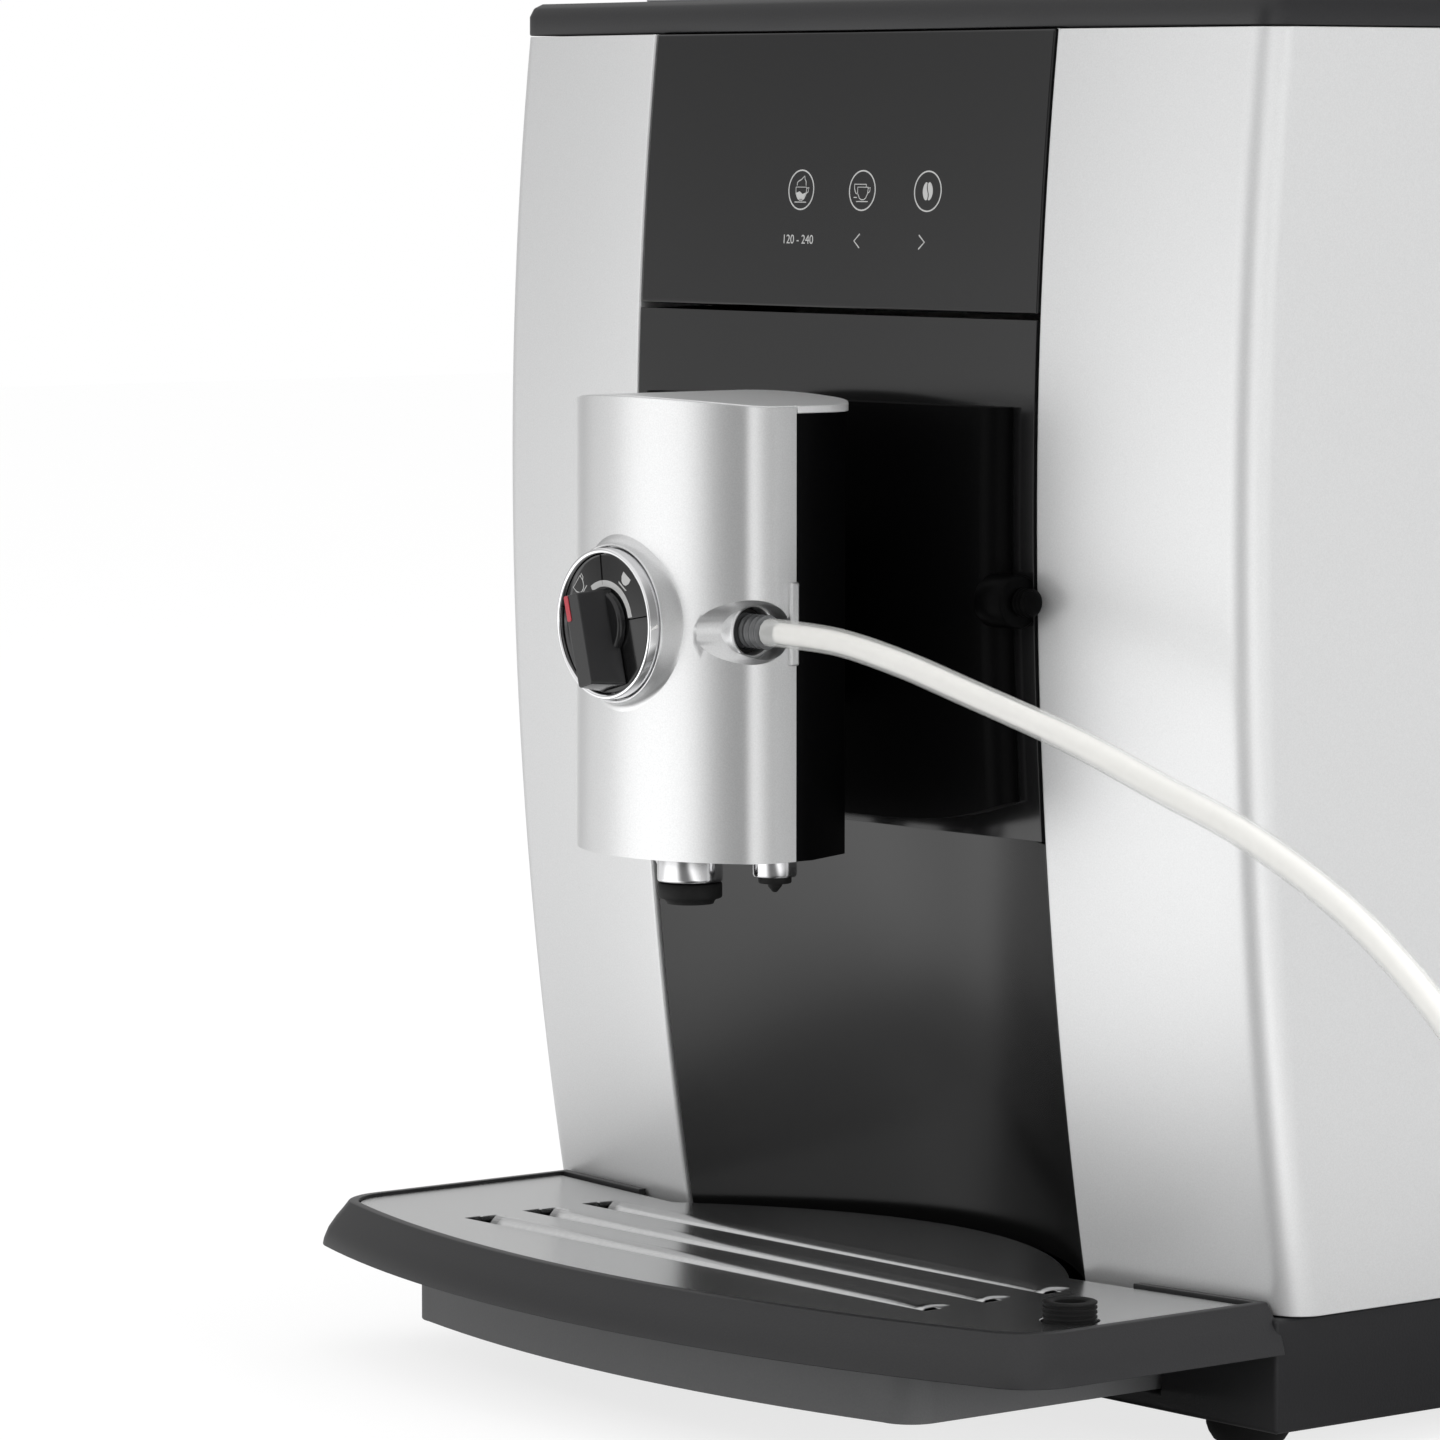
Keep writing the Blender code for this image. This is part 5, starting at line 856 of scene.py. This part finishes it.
def spout_front_line(inset):
    """The spout's plan from seam to seam, set in by a distance."""
    big, small = arc_radius - inset, corner_radius - inset
    lean = math.asin(corner_x / (arc_radius - corner_radius))
    right = [(math.sin(t) * big, arc_y - math.cos(t) * big) for t in spread(0, lean, 18)]
    right += [(corner_x + math.sin(t) * small, corner_y - math.cos(t) * small)
              for t in spread(lean, math.pi / 2, 12)[1:]]
    return [(-x, y) for x, y in reversed(right[1:])] + right


def solid_from(bm, name):
    """A scratch object of a bmesh, for carving with."""
    bmesh.ops.recalc_face_normals(bm, faces=bm.faces)
    return put_in(name, mesh_of(bm, name))


def carve(solid, tool, operation="DIFFERENCE"):
    """Takes a tool away from a solid, or adds it, and throws the tool away."""
    step = solid.modifiers.new("carve", "BOOLEAN")
    step.operation = operation
    step.solver = "EXACT"
    step.object = tool
    bpy.context.view_layer.update()
    shaped = bpy.data.meshes.new_from_object(solid.evaluated_get(bpy.context.evaluated_depsgraph_get()))
    solid.modifiers.clear()
    solid.data = shaped
    bpy.data.objects.remove(tool)


def round_bar(name, radius, start, end, steps=64):
    """A plain round bar between two points, for carving with."""
    start, end = Vector(start), Vector(end)
    bm = bmesh.new()
    bmesh.ops.create_cone(bm, cap_ends=True, segments=steps, radius1=radius, radius2=radius,
                          depth=(end - start).length)
    turn = (end - start).to_track_quat("Z", "Y").to_matrix()
    bmesh.ops.rotate(bm, verts=bm.verts, matrix=turn)
    bmesh.ops.translate(bm, verts=bm.verts, vec=(start + end) / 2)
    return solid_from(bm, name)


def taken(solid):
    """The carved shape as a bmesh again."""
    bm = bmesh.new()
    bm.from_mesh(solid.data)
    bpy.data.objects.remove(solid)
    return bm


def crown(x, rise):
    """How far the crowned top stands up at a place across the spout."""
    return rise * (1 - (x / spout_half) ** 2)


socket_y, socket_z, dial_z = -0.19, 0.2055, 0.2066
scoop_radius, scoop_turn = 0.0098, math.radians(53)


def socket_bar(name, radius, start):
    """A round bar about the milk socket's axis, out through the spout's side."""
    return round_bar(name, radius, (start, socket_y, socket_z), (0.045, socket_y, socket_z))


shell = solid_from(slab(spout_front_line(0) + [(spout_half, spout_seam), (-spout_half, spout_seam)],
                        spout_bottom, spout_top), "spout_shell_block")
inner_half = spout_half - shell_wall
hollow = solid_from(slab(spout_front_line(shell_wall) + [(inner_half, spout_seam + 0.004),
                                                         (-inner_half, spout_seam + 0.004)],
                         spout_bottom - 0.002, spout_top + 0.002), "spout_hollow")
along = Vector((math.cos(scoop_turn), math.sin(scoop_turn), 0))
across = Vector((-along.y, along.x, 0))
scoop_start = Vector((0.0238, -0.202, socket_z)) - across * scoop_radius
carve(hollow, round_bar("scoop_lining", 0.0116, scoop_start - along * 0.004, scoop_start + along * 0.05))
carve(hollow, socket_bar("socket_boss", 0.0098, 0.018))
carve(shell, hollow)
carve(shell, round_bar("scoop", scoop_radius, scoop_start, scoop_start + along * 0.06))
carve(shell, socket_bar("socket_recess", 0.007, 0.0312))
carve(shell, socket_bar("socket_hole", 0.0064, 0.011))
carve(shell, round_bar("dial_opening", 0.02, (0, -0.212, dial_z), (0, -0.199, dial_z), 96))
bm = taken(shell)
slice_across(bm, 2, spread(spout_bottom, spout_top, 30)[1:-1])
for vert in bm.verts:
    if vert.co.z > spout_top - 0.0001:
        vert.co.z += 0.0005 + crown(vert.co.x, 0.0022)
place("spout_shell_piece", bm, silver, "spout", "spout_shell", edge=0.0005, sharp=32)

rim_profile = [(0.006, 0.0265), (0.006, 0.0312), (0.0062, 0.0316), (0.0066, 0.0318), (0.007, 0.0315),
               (0.0071, 0.0308), (0.0071, 0.0265)]
place("milk_socket_rim", turned(rim_profile, (0, socket_y, socket_z), "X"), silver, "spout", slot="silver_paint")
bm = flat_plate((0.037, -0.1838, 0.1967), (0.0394, spout_seam, 0.2179), 0.0006, 3)
place("spout_seam_clip", bm, silver, "spout", slot="silver_paint", edge=0.0006, segments=3)

lid_inset, rear_radius = 0.0009, 0.013
lid_half = spout_half - lid_inset
lid_side = [(lid_half, -0.1806), (spout_half, -0.1806)]
lid_side += [(spout_half - rear_radius + rear_radius * math.cos(t), -0.17 + rear_radius * math.sin(t))
             for t in spread(0, math.pi / 2, 12)]
bm = slab(spout_front_line(lid_inset) + lid_side + [(-x, y) for x, y in reversed(lid_side)], 0.2604, 0.2623)
slice_across(bm, 0, spread(-0.036, 0.036, 25))
for vert in bm.verts:
    if vert.co.z > 0.261:
        vert.co.z += crown(vert.co.x, 0.0023)
place("spout_lid_piece", bm, pale_silver, "spout", "spout_lid", edge=0.0005, segments=3, sharp=40)
rear_body = eased("spout_rear_body", guide_black, 0.0006, 3)
for vert in rear_body.data.vertices:
    if vert.co.z > 0.26:
        vert.co.z -= 0.0012
eased("spout_carriage", black_plastic, 0.0004)
eased("frother_body", dark_grey, 0.0005)


# Milk dial
# A flared collar in the shell's paint holds a chrome ring round a black face with printed marks. The black
# pointer knob has a wedge-shaped ridge with a red mark let into its upper end.

chrome = finish("polished chrome", (0.86, 0.86, 0.87), 0.07, 1.0, grain=240, tint=0.03, wear=0.04)
mark_red = finish("red mark", (0.42, 0.035, 0.05), 0.35, grain=1400, tint=0.08)


def lofted(rings):
    """Bridges rings of points and closes the first and the last."""
    bm = bmesh.new()
    loops = []
    for ring in rings:
        points = [bm.verts.new(p) for p in ring]
        loops.append([bm.edges.new((a, b)) for a, b in zip(points, points[1:] + points[:1])])
    for a, b in zip(loops, loops[1:]):
        bmesh.ops.bridge_loops(bm, edges=a + b)
    for loop in (loops[0], loops[-1]):
        bmesh.ops.contextual_create(bm, geom=loop)
    return bm


lip_radius, lip_y, foot_radius, foot_flare = 0.0203, -0.2104, 0.0209, 0.0026
dial_turns = [math.tau * i / 128 for i in range(128)]


def dial_point(turn, radius, y):
    return (radius * math.cos(turn), y, dial_z + radius * math.sin(turn))


def dial_circle(radius, y):
    """A circle of points about the dial's axis."""
    return [dial_point(t, radius, y) for t in dial_turns]


def collar_line(share):
    """A line round the collar, from its lip (0) down a hollow curve to its foot on the shell (1)."""
    out, down = 1 - math.cos(share * math.pi / 2), math.sin(share * math.pi / 2)
    line = []
    for t in dial_turns:
        foot = foot_radius + foot_flare * abs(math.sin(t)) ** 2.5
        foot_y = arc_y - math.sqrt(arc_radius ** 2 - (foot * math.cos(t)) ** 2) + 0.0001
        line.append(dial_point(t, lip_radius + (foot - lip_radius) * out, lip_y + (foot_y - lip_y) * down))
    return line


lip = ((0.0196, -0.2082), (0.0196, -0.2101), (0.01975, -0.2104), (0.02, -0.21055), (0.0202, -0.2105))
bm = lofted([dial_circle(radius, y) for radius, y in lip] + [collar_line(share) for share in spread(0, 1, 12)]
            + [dial_circle(0.0206, -0.2)])
place("dial_flare", bm, silver, "spout", slot="silver_paint", sharp=50)
ring_profile = [(0.018, -0.2085), (0.018, -0.213), (0.0182, -0.2134), (0.0185, -0.2135), (0.0188, -0.2135),
                (0.0191, -0.2134), (0.0193, -0.213), (0.0193, -0.2085)]
place("dial_ring_piece", turned(ring_profile, (0, 0, dial_z), "Y", 128), chrome, "spout", "dial_ring", sharp=60)
face_profile = [(0, -0.2125), (0.017, -0.2125), (0.01765, -0.2122), (0.0177, -0.2085), (0, -0.2085)]
place("dial_face_piece", turned(face_profile, (0, 0, dial_z), "Y", 96), black_gloss, "spout", "dial_face", sharp=50)


def round_dial(radius, degrees):
    turn = math.radians(degrees)
    return (radius * math.cos(turn), dial_z + radius * math.sin(turn))


def on_dial(x, z):
    """Just in front of the dial's flat face."""
    return -0.21252


# Painted shade: the dial's grooves are drawn as dull black lines lying on its face, and their black stands in for the
# shade down in the grooves.
groove_shade_black = finish("dial grooves as painted shade", (0.0006, 0.0006, 0.0006), 0.7, grain=900, tint=0.3, Specular_IOR_Level=0.05)
lines_on("dial_groove_top_shade", [[round_dial(0.01, 97), round_dial(0.0176, 97)]], 0.0006, on_dial, groove_shade_black, "spout",
         "black_gloss")
lines_on("dial_groove_shades", [[round_dial(0.009, 9.5), round_dial(0.0176, 9.5)],
                          [round_dial(0.0107, 169.5), round_dial(0.0177, 169.5)]], 0.00035, on_dial, groove_shade_black,
         "spout", "black_gloss")


def on_face(points, radius, degrees, size):
    """Turns a symbol so that its top points outwards from the dial's middle."""
    turn = Matrix.Rotation(math.radians(degrees - 90), 2)
    middle = Vector(round_dial(radius, degrees))
    return [tuple(turn @ Vector(p) * size + middle) for p in points]


# The dial's marks use the touch panel's print, so they glow faintly as well; nothing lights them from behind, so this
# glow is painted light.
lines_on("dial_cup_line", [on_face(line, 0.015, 139.6, 0.95) for line in (cup, handle, saucer)], 0.0003, on_dial,
         print_grey, "spout", "black_gloss")
band = [round_dial(0.0111, t) for t in spread(12, 123, 40)] + [round_dial(0.0095, t) for t in spread(123, 12, 40)]
stand = ((-0.0025, -0.0033), (0.0025, -0.0033), (0.002, -0.0038), (-0.002, -0.0038))
shapes_on("dial_fills", [band, on_face(cup[:-1], 0.0149, 55, 0.8), on_face(stand, 0.0149, 55, 0.8)], on_dial,
          print_grey, "spout", "black_gloss", 0.00004)

knob_base = [(0, -0.2148), (0.008, -0.2148), (0.0086, -0.2142), (0.0088, -0.2128), (0.003, -0.2128),
             (0.003, -0.2025), (0, -0.2025)]
knob_black = finish("knob black plastic", (0.01, 0.01, 0.0105), 0.22, grain=1500, tint=0.2, relief=0.00002)
place("dial_knob_base", turned(knob_base, (0, 0, dial_z), "Y", 72), knob_black, "dial", "dial_knob", edge=0.0003)
pointer_turn = Matrix.Rotation(math.radians(-15), 3, "Y")


def on_pointer(bm):
    """Turns a shape drawn upright to the knob's resting place."""
    bmesh.ops.rotate(bm, verts=bm.verts, matrix=pointer_turn)
    bmesh.ops.translate(bm, verts=bm.verts, vec=(0, 0, dial_z))


ridge_foot, ridge_height, ridge_taper = -0.2128, 0.0094, (0.56, 1, 0.93)
bm = bmesh.new()
foot_face = bm.faces.new([bm.verts.new((x, ridge_foot, z)) for x, z in
                          ((-0.005, -0.0168), (0.005, -0.0168), (0.005, 0.0086), (-0.005, 0.0086))])
crest = drawn_out(bm, [foot_face], (0, -ridge_height, 0))
bmesh.ops.scale(bm, verts=crest, vec=ridge_taper)
uprights = [e for e in bm.edges if abs(e.verts[0].co.y - e.verts[1].co.y) > 0.005]
bmesh.ops.bevel(bm, geom=uprights, offset=0.0007, segments=3, profile=0.5, affect="EDGES", material=-1)
on_pointer(bm)
place("dial_knob_ridge", bm, knob_black, "dial", slot="black_gloss", edge=0.0003, sharp=40)
bm = flat_plate((-0.0027, -0.2224, 0.0014), (-0.0011, -0.2219, 0.008), 0.0005, 3)
on_pointer(bm)
place("dial_red_mark", bm, mark_red, "dial", slot="black_gloss")


# Milk connection
# A rubber socket sits in the shell's hollow, and a grey translucent adapter with soft ribs plugs the hose in.

grey_silicone = finish("grey translucent silicone", (0.1, 0.102, 0.105), 0.22, grain=800, tint=0.1, wear=0.1,
                       Alpha=0.9, Coat_Weight=0.4, Coat_Roughness=0.12)
socket_profile = [(0.0046, 0.0113), (0.0057, 0.0113), (0.0057, 0.029), (0.0054, 0.0295), (0.0048, 0.0295),
                  (0.0046, 0.029)]
bm = turned(socket_profile, (0, socket_y, socket_z), "X", 48)
place("milk_socket_piece", bm, rubber, "spout", "milk_socket", sharp=50)
ribs = [(0.0018, 0.018), (0.0045, 0.018), (0.0045, 0.0293)]
for i in range(4):
    start = 0.0297 + 0.00212 * i
    ribs += [(0.0039, start), (0.0039, start + 0.0007), (0.0043, start + 0.001), (0.0044, start + 0.0014),
             (0.0043, start + 0.0018)]
ribs += [(0.0039, 0.0381), (0.0018, 0.0381)]
bm = turned(ribs, (0, socket_y, socket_z), "X", 48)
place("hose_adapter_piece", bm, grey_silicone, "spout", "hose_adapter", sharp=75)


# Nozzle and coffee outlets
# A turned chrome nozzle with a rubber end is pushed up into the spout. Behind it stand two small chrome outlets
# with pointed black tips.

turned_chrome = finish("turned chrome", (0.74, 0.74, 0.75), 0.17, 1.0, grain=500, tint=0.06, wear=0.04,
                       stretch=(1.0, 1.0, 0.05))
nozzle_place, outlet_y = (0, -0.185, 0), -0.1732
nozzle = [(0.005, 0.139), (0.008, 0.139), (0.0084, 0.1393), (0.0085, 0.14), (0.0085, 0.1462),
          (0.0083, 0.1468), (0.005, 0.1468)]
rubber_end = [(0.005, 0.1387), (0.0081, 0.1387), (0.0083, 0.1384), (0.0083, 0.1352), (0.008, 0.1348),
              (0.0068, 0.1345), (0.0063, 0.1339), (0.0061, 0.1333), (0.005, 0.1333)]
outlet_body = [(0, 0.1468), (0.0057, 0.1468), (0.0057, 0.1418), (0.0054, 0.1412), (0, 0.1412)]
outlet_tip = [(0, 0.1413), (0.0043, 0.1413), (0.0043, 0.1397), (0.004, 0.1394), (0.002, 0.1393),
              (0.0018, 0.1386), (0.0006, 0.1371), (0, 0.137)]
for name, profile, material in (("main_nozzle", nozzle, turned_chrome), ("nozzle_ring", rubber_end, rubber)):
    place(name + "_piece", turned(profile, nozzle_place, steps=72), material, "spout", name, sharp=50)
for outlet, x in (("coffee_outlet_left", -0.02), ("coffee_outlet_right", 0.02)):
    bm = turned(outlet_body, (x, outlet_y, 0), steps=48)
    place(outlet + "_cup", bm, turned_chrome, "spout", outlet, sharp=50)
    bm = turned(outlet_tip, (x, outlet_y, 0), steps=40)
    place(outlet + "_tip", bm, rubber, "spout", slot="rubber", sharp=50)


# Drip tray
# One dark grey moulding: a flared skirt round a flat rim, a box below it for the drips, and a well for the
# float. It slides into the base.

plate_top, plate_apex, plate_half = 0.04, -0.216, 0.14
front_bow, tray_corner, back_sweep, sweep_width = 0.42, 0.016, 0.0069, 0.0622


def tray_back(x):
    """The line behind the tray: the foot of the cheeks and of the splash panel."""
    if abs(x) < centre_half:
        return splash_front(x, plate_top)
    share = min(1.0, max(0.0, abs(x) - shell_edge) / sweep_width)
    return front(shell_edge, plate_top) + back_sweep * share


def tray_line(grow, back_gap):
    """The tray's plan, grown from the plate's edge."""
    apex, half, inner_bow = plate_apex - grow, plate_half + grow, front_bow - tray_corner
    reach = half - tray_corner
    lean = math.asin(reach / inner_bow)
    corner = apex + front_bow - math.cos(lean) * inner_bow
    right = [(math.sin(t) * front_bow, apex + front_bow - math.cos(t) * front_bow) for t in spread(0, lean, 16)[1:]]
    right += [(reach + math.sin(t) * tray_corner, corner - math.cos(t) * tray_corner)
              for t in spread(lean, math.pi / 2, 12)[1:]]
    right.append((half, tray_back(half) - back_gap))
    right += [(x, tray_back(x) - back_gap) for x in spread(shell_edge, 0, 20)[:-1]]
    return [(0, apex)] + right + [(0, tray_back(0) - back_gap)] + [(-x, y) for x, y in reversed(right)]


def box_line(inset):
    """The plan of the box under the tray."""
    half, corner, front_y = 0.103 - inset, 0.009 - inset, -0.21 + inset
    right = [(x, front_y + x * x / (2 * front_bow)) for x in spread(0, half - corner, 10)]
    sag = right[-1][1]
    right += [(half - corner + math.sin(t) * corner, sag + corner - math.cos(t) * corner)
              for t in spread(0, math.pi / 2, 8)[1:]]
    right.append((half, 0.055 - inset))
    return [(-x, y) for x, y in reversed(right[1:])] + right


tray_grey = finish("tray grey plastic", (0.02, 0.02, 0.021), 0.4, grain=1700, tint=0.14, relief=0.00005,
                   Specular_IOR_Level=0.35)
# Painted light: the box below the skirt gets a lighter copy of the tray's grey, standing in for the light the floor
# throws up on it; the tray is one moulding.
lit_box_grey = finish("tray box grey plastic with painted light", (0.1, 0.101, 0.103), 0.45, grain=1700, tint=0.1, relief=0.00005)
skirt = ((0.0283, 0.009), (0.03, 0.0087), (0.033, 0.0076), (0.036, 0.0058), (0.0385, 0.004),
         (0.04, 0.003), (0.0406, 0.0026), (0.0408, 0.0021))
skirt_foot = skirt[0][0]
float_x, float_y, float_hole = 0.128, -0.168, 0.0073
tray = solid_from(lofted([[(x, y, z) for x, y in tray_line(grow, 0.0008)] for z, grow in skirt]), "tray_block")
carve(tray, solid_from(slab(box_line(0), 0.0133, 0.036), "tray_box"), "UNION")
carve(tray, solid_from(slab(tray_line(0.0003, 0.0033), 0.0381, 0.045), "tray_seat"))
carve(tray, solid_from(slab(box_line(0.0022), 0.0155, 0.045), "tray_basin"))
carve(tray, round_bar("float_well", float_hole, (float_x, float_y, 0.0321), (float_x, float_y, 0.045)))
tray_piece = place("drip_tray_piece", taken(tray), tray_grey, "tray", "drip_tray", edge=0.0004, sharp=32)
# The faces below the skirt's foot take the lighter grey, which is painted light.
tray_piece.data.materials.append(lit_box_grey)
for face in tray_piece.data.polygons:
    face.material_index = 1 if face.center.z < skirt_foot - 0.0001 else 0


# Drip plate
# A satin steel sheet in a shallow seat. Three long louvres are pressed up in it, each a rounded bead with the
# gap that takes the drips in front of it.

plate_steel = finish("satin steel sheet", (0.6, 0.603, 0.605), 0.24, 1.0, grain=900, tint=0.1, wear=0.05,
                     relief=0.00001)
louvre_rows = [-0.184 + 0.02 * i for i in range(3)]
plate = solid_from(slab(tray_line(0, 0.0049), 0.0384, plate_top), "plate_block")
for y in louvre_rows:
    slot_low, slot_high = (-0.095, y - 0.00275, 0.036), (0.095, y + 0.00275, 0.043)
    drain = [(-0.0945, y - 0.0022), (-0.085, y - 0.0022), (-0.0885, y + 0.003), (-0.0938, y + 0.0074)]
    carve(plate, solid_from(flat_plate(slot_low, slot_high, 0.0027, 8), "plate_slot"))
    carve(plate, solid_from(slab(drain, 0.036, 0.043), "plate_drain"))
carve(plate, round_bar("float_hole", float_hole, (float_x, float_y, 0.036), (float_x, float_y, 0.045)))
place("drip_plate_piece", taken(plate), plate_steel, "plate", "drip_plate", edge=0.0003, sharp=32)
bead_foot, bead_left, bead_right, flat_from = 0.0401, -0.085, 0.0925, 0.078
bead_front, bead_back, end_cut, end_drop = -0.0019, 0.0076, 0.0088, 0.75
wave = ((bead_front, -0.0012), (-0.0014, -0.0004), (-0.0006, 0.0002), (0.0006, 0.0007), (0.002, 0.001),
        (0.0034, 0.001), (0.0048, 0.0007), (0.0062, 0.0003), (bead_back, 0.0))
for i, y in enumerate(louvre_rows):
    bm = bmesh.new()
    end_line = [(bead_left - end_cut * ((back - bead_front) / (bead_back - bead_front)) ** 1.6, y + back,
                 bead_foot + up) for back, up in wave]
    for vert in line_out(bm, [bm.verts.new(point) for point in end_line]):
        vert.co.x = bead_right
    slice_across(bm, 0, [-0.08, -0.074, flat_from, 0.084, 0.089])
    for vert in bm.verts:
        into_end = max(0.0, vert.co.x - flat_from) / (bead_right - flat_from)
        vert.co.z -= max(0.0, vert.co.z - bead_foot) * into_end ** 2 * end_drop
    turn_outwards(bm, 2)
    bead = place("plate_louvre_%d" % (i + 1), bm, plate_steel, "plate", slot="silver_plate", closed=False, sharp=60)
    give_wall(bead, 0.0006)


# Float
# A black ribbed ring that floats in a well of the tray. It rises through the plate when the tray is full.

rib_profile = [(0.004, 0.0324), (0.0068, 0.0324), (0.0068, 0.04)]
for i in range(4):
    start = 0.0402 + 0.0012 * i
    rib_profile += [(0.0064, start), (0.0064, start + 0.0004), (0.0068, start + 0.0006), (0.0068, start + 0.001)]
rib_profile += [(0.0064, 0.045), (0.0045, 0.045), (0.004, 0.0446)]
place("drip_float_piece", turned(rib_profile, (float_x, float_y, 0), steps=56), rubber, "float", "drip_float", sharp=50)


# Water tank
# A smoked clear tank with a thick rim, moulded in one piece. It lifts out of the top at the left rear.

eased("water_tank", smoked, 0.001, 3)


# Bean hopper and grinder
# A smoked hopper funnels the beans between two steel burrs in a dark housing on the grinder's motor.

motor_metal = finish("motor casing", (0.36, 0.36, 0.37), 0.38, 0.9, grain=200, tint=0.12, wear=0.12)
eased("bean_hopper", smoked, 0.0006)
eased("grinder_motor", motor_metal, 0.0008)
eased("grinder_housing", dark_grey, 0.0008)
eased("upper_burr", burr_steel, 0.0003)
eased("lower_burr", burr_steel, 0.0003)


# Brew unit and grounds container
# A grey frame holds the clear brewing cylinder over its motor. The motor's screw drives the piston up. The
# used grounds drop into a dark container beside it, behind the service door.

clear_cylinder = finish("clear brewing cylinder", (0.3, 0.29, 0.27), 0.12, grain=200, tint=0.06, Alpha=0.5,
                        Coat_Weight=0.4, Coat_Roughness=0.06)
eased("brew_frame", grey_plastic, 0.0006)
eased("brew_cylinder", clear_cylinder, 0.0004)
eased("brew_piston", dark_grey, 0.0004)
eased("brew_spindle", burr_steel, 0.0002)
eased("brew_motor", motor_metal, 0.0005)
eased("grounds_container", dark_grey, 0.0008)


# Heater, pump, boards and mains parts
# A cast aluminium heater and the pump stand on the deck, and a circuit board runs them. The mains inlet and
# the rocker switch show in the rear cover.

cast_metal = finish("cast aluminium", (0.5, 0.5, 0.51), 0.5, 0.9, grain=500, tint=0.12, relief=0.00008)
eased("thermoblock", cast_metal, 0.0008)
eased("water_pump", motor_metal, 0.0006)
eased("control_board", board_green, 0.0003)
eased("mains_inlet", black_plastic, 0.0004)
eased("power_rocker", black_gloss, 0.0004)
